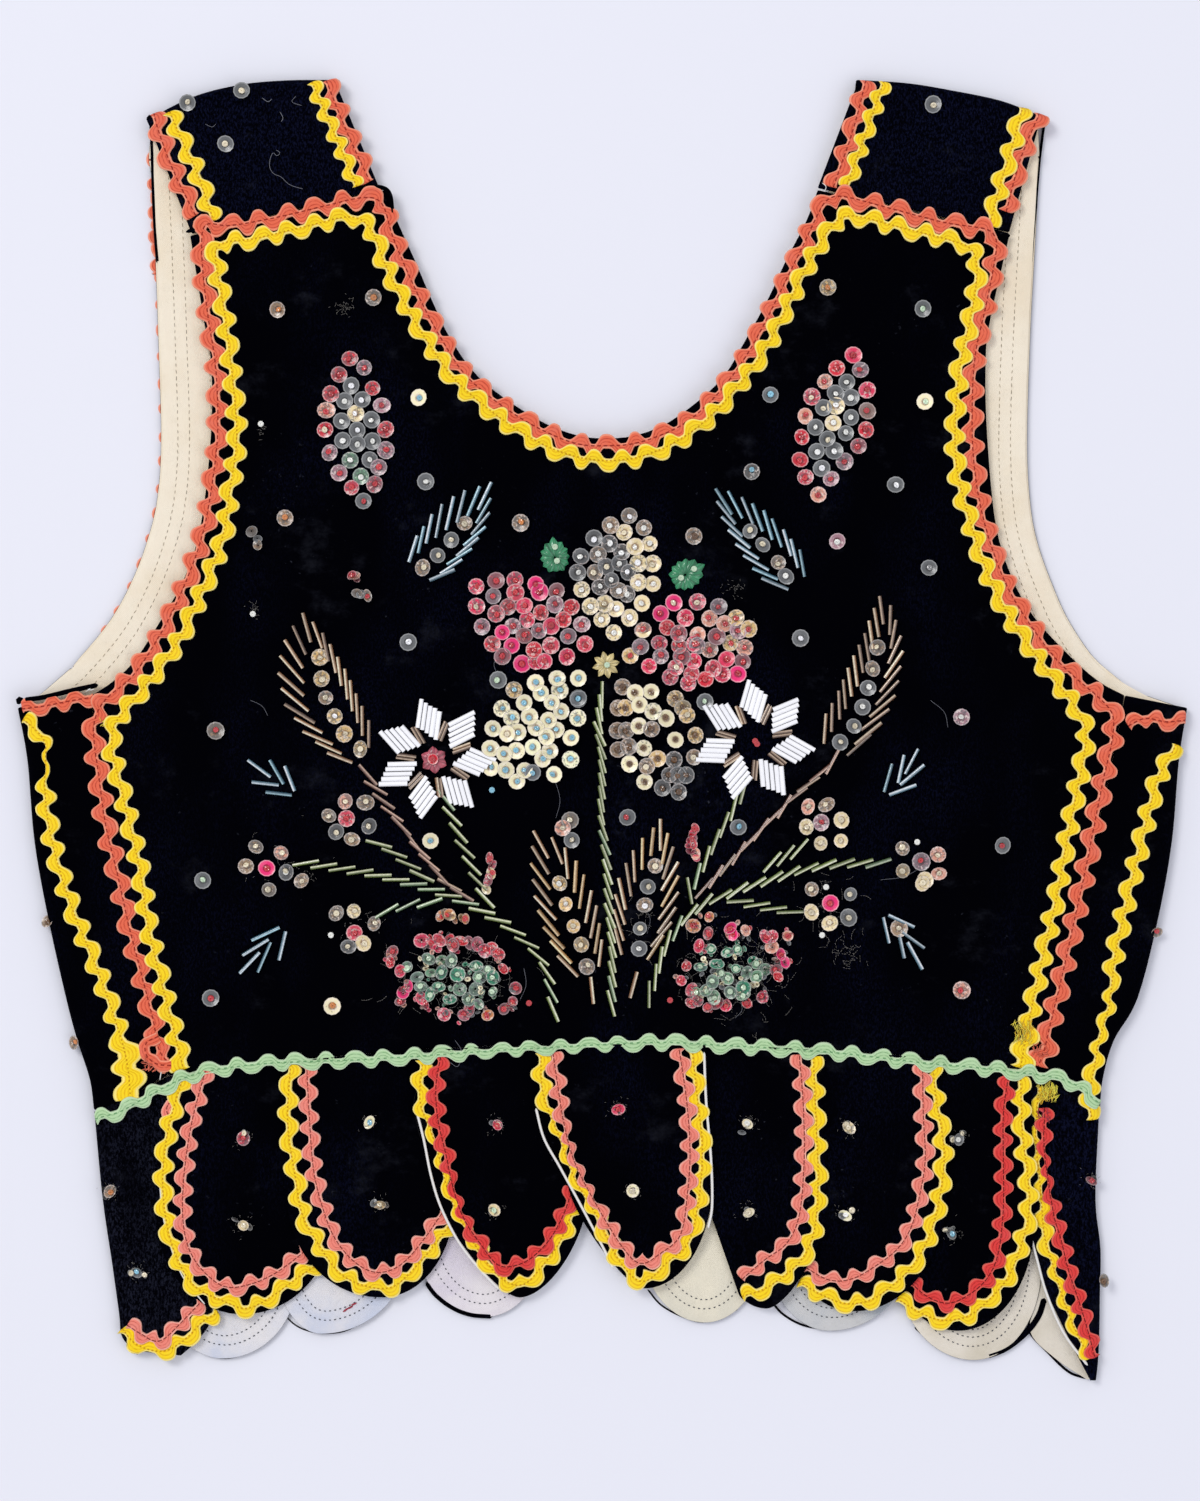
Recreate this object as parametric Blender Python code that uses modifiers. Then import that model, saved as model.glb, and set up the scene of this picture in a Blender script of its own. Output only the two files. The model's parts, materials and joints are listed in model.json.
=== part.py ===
"""Embroidered folk vest of black velvet, laid flat on its two fronts with its back uppermost.

Frame: metres, +Z up from the surface it lies on, +Y towards the shoulders, -X the wearer's left.
The origin is on that surface, below the middle of the vest's outline. All tables are in millimetres.
"""

import math
from collections import namedtuple

import bmesh
import bpy
from mathutils import Vector
from mathutils.bvhtree import BVHTree

MM = 0.001

# Thickness of each cloth, the gap left wherever two pieces meet, and how much higher than the
# surface a folded piece's lower side lies, so that rounding never takes it below.
VELVET = 1.8
TAB = 1.6
UNDER_TAB = 2.0
FACING = 1.0
BRAID = 1.0
GAP = 0.3
SETTLE = 0.015

# Height of the middle of the upper layer above the surface.
TOP = 5.0

# Where the underarm seams and strap seams of the lower layer run: both ends of each.
REST_SEAMS = {
    "side_left": ((-192.0, 22.5), (-163.5, -130.5)),
    "side_right": ((192.0, 14.0), (163.5, -130.5)),
    "strap_left": ((-93.5, 220.5), (-164.0, 206.0)),
    "strap_right": ((90.0, 220.5), (158.0, 207.0)),
}

# Both long edges of the back: up the side seams, out to the underarm points, up the armholes.
EdgeRow = namedtuple("EdgeRow", "y left right")
BACK_SIDES = [
    EdgeRow(-124.0, -156.5, 154.5),
    EdgeRow(-101.0, -163.0, 161.5),
    EdgeRow(-68.0, -171.0, 170.0),
    EdgeRow(-40.0, -177.5, 177.0),
    EdgeRow(-14.0, -182.0, 183.0),
    EdgeRow(12.5, -184.0, 188.0),
]
BACK_ARMHOLES = [
    EdgeRow(12.5, -184.0, 188.0),
    EdgeRow(17.0, -177.0, 179.5),
    EdgeRow(25.0, -168.5, 170.0),
    EdgeRow(40.5, -158.5, 155.5),
    EdgeRow(56.0, -150.0, 147.0),
    EdgeRow(75.0, -144.5, 141.5),
    EdgeRow(107.0, -141.0, 138.5),
    EdgeRow(132.0, -141.0, 138.0),
    EdgeRow(147.0, -143.5, 139.5),
    EdgeRow(178.0, -148.5, 146.5),
]
NECK = [
    EdgeRow(194.5, -78.0, 77.5),
    EdgeRow(183.5, -74.0, 73.5),
    EdgeRow(169.0, -67.5, 66.0),
    EdgeRow(155.0, -61.5, 59.5),
    EdgeRow(140.5, -54.5, 51.5),
    EdgeRow(126.0, -43.5, 42.5),
    EdgeRow(112.5, -24.5, 26.5),
    EdgeRow(106.5, -10.5, 13.5),
]
NECK_BOTTOM = (1.0, 105.0)

# The waist seam is a shallow arc, highest at its middle.
WAIST_MIDDLE = (8.0, -112.7)
WAIST_DROP = 11.0
WAIST_HALF = 160.0

# Where the cloth folds over at the sides, from the underarm points to the waist.
SIDE_FOLDS = [
    EdgeRow(8.0, -211.0, 211.0),
    EdgeRow(-11.0, -207.5, 208.0),
    EdgeRow(-40.0, -205.0, 205.5),
    EdgeRow(-68.0, -200.0, 200.5),
    EdgeRow(-97.0, -193.5, 193.0),
    EdgeRow(-112.0, -189.5, 184.5),
    EdgeRow(-126.0, -185.0, 180.5),
    EdgeRow(-137.0, -183.5, 179.5),
]
# Armhole edges of the fronts, which lie under the back's and stand out past them.
FRONT_ARMHOLES = [
    EdgeRow(18.0, -198.0, 188.0),
    EdgeRow(25.0, -190.0, 178.5),
    EdgeRow(39.5, -178.0, 168.5),
    EdgeRow(54.0, -170.0, 162.0),
    EdgeRow(68.5, -164.5, 157.0),
    EdgeRow(83.0, -161.0, 154.5),
    EdgeRow(104.5, -159.5, 153.5),
    EdgeRow(140.5, -160.5, 154.5),
    EdgeRow(169.0, -161.5, 156.0),
    EdgeRow(205.0, -163.0, 158.0),
]
# The shoulder straps, from the neck side to the arm side: seam on the back, and the fold at the top.
StrapRow = namedtuple("StrapRow", "seam_x seam_y fold_x fold_y")
STRAP_LEFT = [
    StrapRow(-80.0, 194.0, -95.5, 234.6),
    StrapRow(-97.0, 190.5, -114.5, 234.4),
    StrapRow(-114.0, 186.5, -131.0, 232.8),
    StrapRow(-131.0, 182.5, -148.0, 228.4),
    StrapRow(-148.0, 178.5, -164.5, 220.0),
]
STRAP_RIGHT = [
    StrapRow(77.5, 195.0, 91.5, 234.6),
    StrapRow(95.0, 191.0, 110.0, 233.4),
    StrapRow(112.0, 187.0, 127.0, 230.6),
    StrapRow(129.0, 183.0, 144.0, 227.0),
    StrapRow(146.5, 179.0, 158.5, 221.4),
]
# The fronts: half the gap between them, how far their neck edge lies inside the back's, and how far
# along the waist they reach. Then the lining strip that shows inside each armhole.
FRONT_OPENING = 1.5
FRONT_NECK_INSET = 4.0
FRONT_HEM_REACH = 158.0
FACING_WIDTH = 25.0
FACING_INSET = 0.9
FACING_TOP = 215.0
FACING_TIPS = {"left": (-206.5, 11.0), "right": (205.5, 8.5)}
FACING_LOW_END = (172.0, 7.0)

# Tabs of the upper layer. over is the side on which a tab lies on its neighbour.
# braided is how much of the way round its edge the braids run before they end.
TabRow = namedtuple("TabRow", "name top_left top_right mid_left mid_right mid_y tip_x tip_y over braided")
TABS = [
    TabRow("tab_2", -153.0, -98.0, -160.5, -97.0, -175.0, -129.0, -210.5, "left", 1.0),
    TabRow("tab_3", -115.5, -56.5, -113.5, -53.0, -168.0, -79.0, -204.5, "left", 1.0),
    TabRow("tab_4", -67.0, -6.5, -60.5, -5.0, -165.0, -30.0, -204.5, "left", 1.0),
    TabRow("tab_5", -24.5, 37.0, -12.5, 39.5, -163.0, 15.0, -201.0, "both", 1.0),
    TabRow("tab_6", 30.0, 77.5, 38.5, 81.0, -172.0, 59.0, -208.5, "right", 0.64),
    TabRow("tab_7", 67.0, 120.5, 62.0, 124.0, -166.0, 90.0, -209.5, "right", 1.0),
    TabRow("tab_8", 109.0, 154.0, 101.0, 155.5, -177.0, 127.5, -216.5, "right", 1.0),
]
UnderTabRow = namedtuple("UnderTabRow", "name top_left top_right mid_left mid_right mid_y tip_x tip_y")
UNDER_TABS = [
    UnderTabRow("under_tab_1", -156.5, -115.5, -160.0, -116.5, -194.0, -137.0, -227.0),
    UnderTabRow("under_tab_2", -114.5, -71.0, -116.0, -72.5, -187.0, -101.5, -218.0),
    UnderTabRow("under_tab_3", -69.5, -10.0, -67.5, -22.0, -183.0, -42.5, -212.0),
    UnderTabRow("under_tab_4", 6.0, 58.0, 14.0, 59.0, -183.0, 37.0, -214.0),
    UnderTabRow("under_tab_5", 59.0, 105.0, 60.5, 105.0, -187.0, 82.0, -217.0),
    UnderTabRow("under_tab_6", 106.0, 157.0, 106.5, 158.5, -194.0, 134.0, -227.5),
]
# The two outermost tabs are folded in half at the sides: fold, open edge on top, open edge below.
FoldedTabRow = namedtuple("FoldedTabRow", "y fold top_edge rest_edge")
FOLDED_TAB_LEFT = [
    FoldedTabRow(-137.7, -183.5, -145.0, -164.0),
    FoldedTabRow(-169.0, -180.5, -143.0, -163.5),
    FoldedTabRow(-193.0, -177.0, -142.0, -163.0),
    FoldedTabRow(-211.0, -174.5, -141.0, -163.0),
    FoldedTabRow(-219.0, -173.5, -145.0, -163.5),
    FoldedTabRow(-225.5, -168.0, -152.0, -160.5),
]
FOLDED_TAB_RIGHT = [
    FoldedTabRow(-137.7, 179.3, 156.5, 160.5),
    FoldedTabRow(-169.0, 178.0, 155.5, 160.0),
    FoldedTabRow(-187.0, 179.8, 156.5, 159.5),
    FoldedTabRow(-203.0, 179.6, 160.5, 159.5),
    FoldedTabRow(-217.0, 179.4, 167.0, 161.5),
    FoldedTabRow(-227.0, 178.8, 172.0, 168.0),
    FoldedTabRow(-234.6, 177.5, 176.0, 174.0),
]
# Height of the middle of a tab where a neighbour lies on it, there and at the waist, then how much
# higher it is where it lies on a neighbour, and the part of its width over which it climbs.
TAB_LOW = 3.3
TAB_LOW_AT_WAIST = 3.9
TAB_RISE = 2.15
TAB_CLIMB = (0.32, 0.66)
FOLDED_TAB_HEIGHT = 3.6
# The angle round a tab's end at which its sides hand over to its tip.
TAB_CORNER = 42.0

# Soft folds in the upper layer: middle, half length, half width, turn from the Y axis, height.
FoldRow = namedtuple("FoldRow", "x y half_length half_width turn height")
SOFT_FOLDS = [
    FoldRow(-143.0, -20.0, 55.0, 9.0, 6.0, 1.2),
    FoldRow(-124.0, -70.0, 42.0, 8.0, -14.0, 0.9),
    FoldRow(120.0, -78.0, 40.0, 9.0, 26.0, 1.0),
    FoldRow(150.0, 0.0, 46.0, 8.0, -8.0, 0.9),
    FoldRow(-104.0, 120.0, 44.0, 11.0, 12.0, 0.8),
    FoldRow(102.0, 118.0, 48.0, 11.0, -10.0, 0.8),
    FoldRow(0.0, -30.0, 80.0, 42.0, 0.0, 1.0),
    FoldRow(-30.0, -95.0, 22.0, 12.0, -30.0, -0.4),
    FoldRow(58.0, -92.0, 24.0, 12.0, 24.0, -0.4),
]

# Zigzag braids: the spacing of the waves, half the sideways swing, and the width of the band.
BraidSize = namedtuple("BraidSize", "pitch swing band")
FRAME_BRAID = BraidSize(9.1, 2.0, 4.0)
WAIST_BRAID = BraidSize(10.0, 1.6, 4.0)
TAB_BRAID = BraidSize(10.4, 2.1, 4.4)
CORAL_INSETS = {"side": 0.0, "armhole": 2.4, "shoulder": 1.0, "neck": 3.2}
YELLOW_STEPS = {"side": 8.2, "armhole": 6.6, "shoulder": 6.0, "neck": 6.0}
ROUTE_STEP = 1.8
STRAP_INSET = 3.4
STRAP_STEP = 5.2
STRAP_ENDS = (6.6, 3.0)
TAB_OUTER_INSET = 3.6
TAB_INNER_STEP = 6.4
WAIST_CLEARANCE = 4.8

# Routes of the braids that follow no single edge, as points on their middle lines.
Spot = namedtuple("Spot", "x y")
SIDE_YELLOW = {
    "left": [
        Spot(-206.0, 1.0), Spot(-199.0, -13.0), Spot(-197.5, -40.0),
        Spot(-191.0, -68.0), Spot(-182.0, -97.0), Spot(-172.0, -128.0),
    ],
    "right": [
        Spot(204.0, -7.0), Spot(196.0, -26.0), Spot(192.0, -46.0),
        Spot(188.0, -66.0), Spot(183.0, -92.0), Spot(178.5, -122.0),
    ],
}
SIDE_CORAL = {
    "left": [Spot(-204.0, 8.0), Spot(-198.0, 8.5), Spot(-191.0, 9.0)],
    "right": [Spot(206.0, 2.5), Spot(200.0, 5.0), Spot(194.0, 7.0)],
}
SIDE_CORAL_BRAID = BraidSize(9.1, 1.4, 3.4)
WAIST_GREEN = {
    "left": [Spot(-179.0, -137.5), Spot(-173.0, -136.0), Spot(-164.0, -131.0)],
    "right": [Spot(160.0, -125.0), Spot(168.0, -127.5), Spot(175.0, -130.5)],
}
FOLDED_TAB_YELLOW = {
    "tab_1": [
        Spot(-170.0, -217.5), Spot(-164.0, -221.5), Spot(-157.0, -222.3),
        Spot(-149.0, -219.0), Spot(-143.0, -213.0), Spot(-139.0, -206.0),
    ],
    "tab_9": [
        Spot(161.5, -130.0), Spot(160.0, -150.0), Spot(160.3, -170.0), Spot(161.0, -185.0),
        Spot(164.0, -198.0), Spot(168.8, -212.0), Spot(173.5, -223.0),
    ],
}

# Which tab lies over each tab, and the inner braids that are not salmon.
COVERED_BY = {
    "tab_1": "tab_2", "tab_2": "tab_3", "tab_3": "tab_4", "tab_4": "tab_5",
    "tab_6": "tab_5", "tab_7": "tab_6", "tab_8": "tab_7",
}
INNER_RED = ("tab_4", "tab_8", "tab_9")

COLOURS = {
    "velvet": (0.0035, 0.0035, 0.006, 0.95),
    "lining": (0.80, 0.70, 0.52, 0.85),
    "coral": (0.74, 0.125, 0.068, 0.75),
    "yellow": (0.93, 0.58, 0.010, 0.75),
    "red": (0.70, 0.024, 0.030, 0.75),
    "salmon": (0.80, 0.210, 0.150, 0.75),
    "green": (0.22, 0.56, 0.30, 0.75),
}


# ---- plane curves -------------------------------------------------------------------------------

def plane(points):
    """The points as two-dimensional vectors."""
    return [Vector((x, y)) for x, y in points]


def spline(points, steps=8):
    """A dense Catmull-Rom curve through the points."""
    ends = [2 * points[0] - points[1], *points, 2 * points[-1] - points[-2]]
    dense = []
    for a, b, c, d in zip(ends, ends[1:], ends[2:], ends[3:]):
        for step in range(steps):
            t = step / steps
            dense.append(
                0.5 * (2 * b + (c - a) * t + (2 * a - 5 * b + 4 * c - d) * t**2
                       + (3 * b - a - 3 * c + d) * t**3)
            )
    return [*dense, points[-1].copy()]


def length_of(points):
    """Length of the polyline."""
    return sum((b - a).length for a, b in zip(points, points[1:]))


def spaced(points, count):
    """count + 1 points at even distances along the polyline."""
    step = length_of(points) / count
    found, walked, index = [points[0].copy()], 0.0, 0
    for k in range(1, count):
        while walked + (points[index + 1] - points[index]).length < k * step:
            walked += (points[index + 1] - points[index]).length
            index += 1
        a, b = points[index], points[index + 1]
        found.append(a.lerp(b, (k * step - walked) / (b - a).length))
    return [*found, points[-1].copy()]


def cut_short(points, start, end):
    """The polyline without its first and last stretch of those lengths."""
    total = length_of(points)
    dense = spaced(points, max(2, int(total)))
    step = total / (len(dense) - 1)
    return dense[round(start / step):len(dense) - round(end / step)]


def smoothed(values, rounds):
    """Points or numbers in a row, each but the ends drawn towards its neighbours, a number of times."""
    for _ in range(rounds):
        drawn = [(a + 2 * b + c) / 4 for a, b, c in zip(values, values[1:], values[2:])]
        values = [values[0], *drawn, values[-1]]
    return values


def left_normals(points):
    """Unit normals to the left of the way along the polyline."""
    normals = []
    for k in range(len(points)):
        along = points[min(k + 1, len(points) - 1)] - points[max(k - 1, 0)]
        normals.append(Vector((-along.y, along.x)).normalized())
    return normals


def moved(points, distance):
    """The polyline moved sideways, to the right of the way along it where distance is positive."""
    return [p - n * distance for p, n in zip(points, left_normals(points))]


def crossing(a, b, c, d):
    """Where the line through a and b meets the line through c and d."""
    ab, cd, ac = b - a, d - c, c - a
    return a + ab * ((ac.x * cd.y - ac.y * cd.x) / (ab.x * cd.y - ab.y * cd.x))


def joined(runs):
    """Polylines in a row, each pair carried on or cut back to the corner where they cross."""
    route = list(runs[0])
    for run in runs[1:]:
        run = list(run)
        corner = crossing(route[-3], route[-1], run[0], run[2])
        while len(route) > 3 and (route[-1] - route[-3]).dot(corner - route[-1]) < 0:
            route.pop()
        while len(run) > 3 and (run[2] - run[0]).dot(corner - run[0]) > 0:
            run.pop(0)
        route += [corner, *run]
    return route


def side_line(rows, side):
    """One long edge of a table that gives x for each edge at a y, as points."""
    return plane([(getattr(row, side), row.y) for row in rows])


def rest_seam(kind, side, shift=0.0):
    """A straight seam of the lower layer, moved towards the middle of the front by shift."""
    sign = -1 if side == "left" else 1
    return moved(plane(REST_SEAMS[f"{kind}_{side}"]), sign * shift)


def waist_y(x):
    """Height of the waist seam on the page at x: middle minus drop times (offset / half width) squared."""
    return WAIST_MIDDLE[1] - WAIST_DROP * ((x - WAIST_MIDDLE[0]) / WAIST_HALF) ** 2


# ---- solids -------------------------------------------------------------------------------------

def clear_scene():
    for old in list(bpy.data.objects):
        bpy.data.objects.remove(old)
    collection = bpy.data.collections.new("folk_vest")
    bpy.context.scene.collection.children.link(collection)
    return collection


def finish_of(colour):
    """The Principled finish of that name, made once."""
    found = bpy.data.materials.get(colour)
    if found:
        return found
    red, green, blue, roughness = COLOURS[colour]
    finish = bpy.data.materials.new(colour)
    finish.use_nodes = True
    shader = finish.node_tree.nodes["Principled BSDF"]
    shader.inputs["Base Color"].default_value = (red, green, blue, 1.0)
    shader.inputs["Roughness"].default_value = roughness
    finish.diffuse_color = (red, green, blue, 1.0)
    return finish


def wall(name, columns, rows, place, thickness, colour):
    """A cloth wall: a grid laid out by place(u, v), in millimetres, given its thickness by Solidify."""
    mesh = bpy.data.meshes.new(name)
    grid = bmesh.new()
    bmesh.ops.create_grid(grid, x_segments=columns, y_segments=rows, size=0.5)
    for vert in grid.verts:
        column = round((vert.co.x + 0.5) * columns)
        row = round((vert.co.y + 0.5) * rows)
        vert.co = place(column, row) * MM
    bmesh.ops.recalc_face_normals(grid, faces=grid.faces)
    grid.to_mesh(mesh)
    grid.free()
    mesh.shade_smooth()
    mesh.materials.append(finish_of(colour))
    piece = bpy.data.objects.new(name, mesh)
    VEST.objects.link(piece)
    solidify = piece.modifiers.new("thickness", "SOLIDIFY")
    solidify.thickness = thickness * MM
    solidify.offset = 0.0
    solidify.use_even_offset = True
    return piece


def patch(name, bottom, top, left, right, columns, rows, height, thickness, colour):
    """A wall between four edges that share their corners (a Coons patch)."""
    low, high = spaced(bottom, columns), spaced(top, columns)
    near, far = spaced(left, rows), spaced(right, rows)

    def place(column, row):
        u, v = column / columns, row / rows
        ruled = low[column].lerp(high[column], v) + near[row].lerp(far[row], u)
        corners = low[0].lerp(low[-1], u).lerp(high[0].lerp(high[-1], u), v)
        spot = ruled - corners
        return Vector((spot.x, spot.y, height(u, v)))

    return wall(name, columns, rows, place, thickness, colour)


def folded(name, top_edge, fold, rest_edge, stations, cells, level, thickness, colour):
    """A wall that lies on top from top_edge to the fold, turns round it, and returns below to rest_edge.

    cells are the numbers of cells on top, round the fold and below. Round the fold the middle of the
    wall is a half circle, whose outermost point stays within the fold line.
    """
    tops, folds, rests = (spaced(e, stations) for e in (top_edge, fold, rest_edge))
    outward = left_normals(folds)
    if outward[0].dot(folds[0] - tops[0]) < 0:
        outward = [-n for n in outward]
    on_top, round_fold, below = cells
    low = thickness / 2 + SETTLE
    radius = (level - low) / 2

    def place(column, row):
        centre = folds[row] - outward[row] * (radius + thickness / 2)
        if column <= on_top:
            spot = tops[row].lerp(centre, column / on_top)
            return Vector((spot.x, spot.y, level + relief(spot.x, spot.y)))
        if column < on_top + round_fold:
            turn = math.pi * (column - on_top) / round_fold
            spot = centre + outward[row] * radius * math.sin(turn)
            return Vector((spot.x, spot.y, low + radius * (1 + math.cos(turn))))
        spot = centre.lerp(rests[row], (column - on_top - round_fold) / below)
        return Vector((spot.x, spot.y, low))

    return wall(name, sum(cells), stations, place, thickness, colour)


def slab(name, outline, bottom, thickness, colour):
    """A flat cut piece: a filled outline extruded to its thickness."""
    curve = bpy.data.curves.new(name, "CURVE")
    curve.dimensions = "2D"
    curve.fill_mode = "BOTH"
    curve.extrude = thickness / 2 * MM
    edge = curve.splines.new("POLY")
    edge.points.add(len(outline) - 1)
    for point, spot in zip(edge.points, outline):
        point.co = (spot.x * MM, spot.y * MM, 0.0, 1.0)
    edge.use_cyclic_u = True
    curve.materials.append(finish_of(colour))
    piece = bpy.data.objects.new(name, curve)
    piece.location.z = (bottom + thickness / 2) * MM
    VEST.objects.link(piece)
    return piece


# ---- heights ------------------------------------------------------------------------------------

def relief(x, y):
    """Sum of the soft folds at a point, each a rounded ridge or trough."""
    total = 0.0
    for fold in SOFT_FOLDS:
        turn = math.radians(fold.turn)
        dx, dy = x - fold.x, y - fold.y
        along = (dy * math.cos(turn) - dx * math.sin(turn)) / fold.half_length
        across = (dx * math.cos(turn) + dy * math.sin(turn)) / fold.half_width
        total += fold.height * math.exp(-(along**2 + across**2))
    return total


def ease(t):
    """A smooth step from 0 to 1: three t squared less two t cubed."""
    t = min(1.0, max(0.0, t))
    return t * t * (3 - 2 * t)


def tab_height(over):
    """Height of a tab: low where a neighbour lies on it, high where it lies on a neighbour."""

    def height(u, v):
        base = TAB_LOW + (TAB_LOW_AT_WAIST - TAB_LOW) * ease(2.5 * v - 1.5)
        if over == "both":
            return base + TAB_RISE + 0.25 * math.cos(4 * math.pi * u)
        share = 1 - u if over == "left" else u
        start, end = TAB_CLIMB
        return base + TAB_RISE * ease((share - start) / (end - start))

    return height


class Surface:
    """Finds the top of finished pieces, so that what lies on them is made from their own faces."""

    REACH = 0.1

    def __init__(self, pieces):
        bpy.context.view_layer.update()
        graph = bpy.context.evaluated_depsgraph_get()
        self.trees = []
        for piece in pieces:
            shape = bmesh.new()
            mesh = piece.evaluated_get(graph).to_mesh()
            shape.from_mesh(mesh)
            shape.transform(piece.matrix_world)
            self.trees.append(BVHTree.FromBMesh(shape))
            shape.free()

    def top(self, spot):
        """Height of the highest face at a spot, or None past the edges."""
        start = Vector((spot.x * MM, spot.y * MM, self.REACH))
        hits = [tree.ray_cast(start, Vector((0, 0, -1)))[0] for tree in self.trees]
        heights = [hit.z / MM for hit in hits if hit is not None]
        return max(heights) if heights else None

    def clear_height(self, spot, reach):
        """Height that clears everything within reach of a spot."""
        around = [Vector((spot.x + reach * dx, spot.y + reach * dy))
                  for dx, dy in ((0, 0), (1, 0), (-1, 0), (0, 1), (0, -1))]
        heights = [h for h in map(self.top, around) if h is not None]
        return max(heights)


# ---- braids -------------------------------------------------------------------------------------

Station = namedtuple("Station", "spot normal swing")


def half_waves(route, size):
    """The middle line of a braid at the outside of each bend, with its sideways swing there."""
    count = max(4, round(2 * length_of(route) / size.pitch))
    spots = spaced(route, count)
    return [
        Station(spot, normal, size.swing if k % 2 else -size.swing)
        for k, (spot, normal) in enumerate(zip(spots, left_normals(spots)))
    ]


def braid(name, stations, size, surface, colour):
    """A flat zigzag braid laid on a surface, with one section at each station."""
    reach = size.swing + size.band / 2
    heights = [surface.clear_height(station.spot, reach) for station in stations]

    def place(column, row):
        spot, normal, swing = stations[column]
        edge = spot + normal * (swing + (row - 0.5) * size.band)
        cleared = max(heights[max(column - 1, 0):column + 2])
        return Vector((edge.x, edge.y, cleared + GAP + BRAID / 2))

    return wall(name, len(stations) - 1, 1, place, BRAID, colour)


def stepped(stations, steps):
    """The stations of a second braid beside the first, wave for wave, each at its own distance."""
    pairs = zip(stations, steps)
    return [station._replace(spot=station.spot - station.normal * step) for station, step in pairs]


def uncrowded(stations, least):
    """The stations without the pairs that a tight corner draws closer together than least."""
    kept = list(stations[:2])
    for first, second in zip(stations[2::2], stations[3::2]):
        nearest = min((second.spot - first.spot).length, (first.spot - kept[-1].spot).length)
        if nearest > least:
            kept += [first, second]
    return kept


def blend(a, b, t):
    """The station a share t of the way from a to b."""
    swing = a.swing + (b.swing - a.swing) * t
    return Station(a.spot.lerp(b.spot, t), a.normal.lerp(b.normal, t), swing)


def ended(stations, neighbour, size, margin=0.8):
    """The stations as far as a neighbouring piece, which lies over the rest of the braid."""
    if neighbour is None:
        return stations
    reach = size.swing + size.band / 2 + margin

    def covered(station):
        ahead = station.spot + Vector((station.normal.y, -station.normal.x)) * margin
        spots = [ahead + station.normal * reach * share for share in (-1, -0.5, 0, 0.5, 1)]
        return any(neighbour.top(spot) is not None for spot in spots)

    first = next((k for k, station in enumerate(stations) if k > 3 and covered(station)), None)
    if first is None:
        return stations
    kept = stations[:first]
    shares = [0.9, 0.7, 0.5, 0.3]
    last = next((t for t in shares if not covered(blend(kept[-1], stations[first], t))), None)
    return kept if last is None else [*kept, blend(kept[-1], stations[first], last)]


def below_waist(stations):
    """The stations that clear the waist braid."""
    clear = WAIST_BRAID.swing + WAIST_BRAID.band / 2 + 0.8
    return [station for station in stations if station.spot.y < waist_y(station.spot.x) - clear]


# ---- the vest's pieces --------------------------------------------------------------------------

def waist_line(left, right, count=16):
    """Points on the waist seam from one x to another."""
    xs = [left + (right - left) * k / count for k in range(count + 1)]
    return plane([(x, waist_y(x)) for x in xs])


def neck_line(inset=0.0):
    """The neck edge from the left shoulder round to the right one, set into the cloth by inset."""
    left = side_line(NECK, "left")
    right = side_line(NECK, "right")
    edge = spline([*left, Vector(NECK_BOTTOM), *reversed(right)], 4)
    return moved(edge, inset)


def back_edges():
    """The back's edges: side seams and armholes upwards, shoulder seams and neck from left to right."""
    edges = {"neck": neck_line()}
    for side, neck_end in (("left", 0), ("right", -1)):
        seam = side_line(BACK_SIDES, side)
        seam[0].y = waist_y(seam[0].x)
        armhole = side_line(BACK_ARMHOLES, side)
        shoulder = [armhole[-1], edges["neck"][neck_end]]
        edges["side_" + side] = spline(seam, 4)
        edges["armhole_" + side] = spline(armhole, 4)
        edges["shoulder_" + side] = shoulder if side == "left" else shoulder[::-1]
    return edges


def make_back(edges):
    """The back panel: one piece from side seam to side seam and from waist to shoulders."""
    shoulder_cells, neck_cells = 6, 14
    seam_rows, armhole_rows = 6, 10
    columns, rows = 2 * shoulder_cells + neck_cells, seam_rows + armhole_rows
    top = [
        *spaced(edges["shoulder_left"], shoulder_cells),
        *spaced(edges["neck"], neck_cells)[1:],
        *spaced(edges["shoulder_right"], shoulder_cells)[1:],
    ]
    left, right = (
        spaced(edges["side_" + side], seam_rows) + spaced(edges["armhole_" + side], armhole_rows)[1:]
        for side in ("left", "right")
    )
    shares = [(spot.x - top[0].x) / (top[-1].x - top[0].x) for spot in top]
    hem_xs = [left[0].x + (right[0].x - left[0].x) * share for share in shares]
    bottom = plane([(x, waist_y(x)) for x in hem_xs])

    def place(column, row):
        across, v = shares[column], row / rows
        ruled = bottom[column].lerp(top[column], v) + left[row].lerp(right[row], across)
        corners = bottom[0].lerp(bottom[-1], across).lerp(top[0].lerp(top[-1], across), v)
        spot = ruled - corners
        return Vector((spot.x, spot.y, TOP + relief(spot.x, spot.y)))

    return wall("back", columns, rows, place, VELVET, "velvet")


def make_side(side, edges):
    """An underarm piece: from the back's side seam out to the fold and a little way in below."""
    sign = -1 if side == "left" else 1
    seam = moved(edges["side_" + side], sign * GAP)
    fold = side_line(SIDE_FOLDS, side)
    return folded(
        "side_" + side, list(reversed(seam)), spline(fold, 3), rest_seam("side", side), 10, (5, 4, 2),
        TOP, VELVET, "velvet",
    )


def make_strap(side, rows):
    """A shoulder strap: from the back's shoulder seam up over the fold and a little way down below."""
    seam = plane([(row.seam_x, row.seam_y + GAP) for row in rows])
    fold = plane([(row.fold_x, row.fold_y) for row in rows])
    return folded(
        "strap_" + side, seam, spline(fold, 3), rest_seam("strap", side), 6, (4, 4, 2),
        TOP, VELVET, "velvet",
    )


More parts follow.
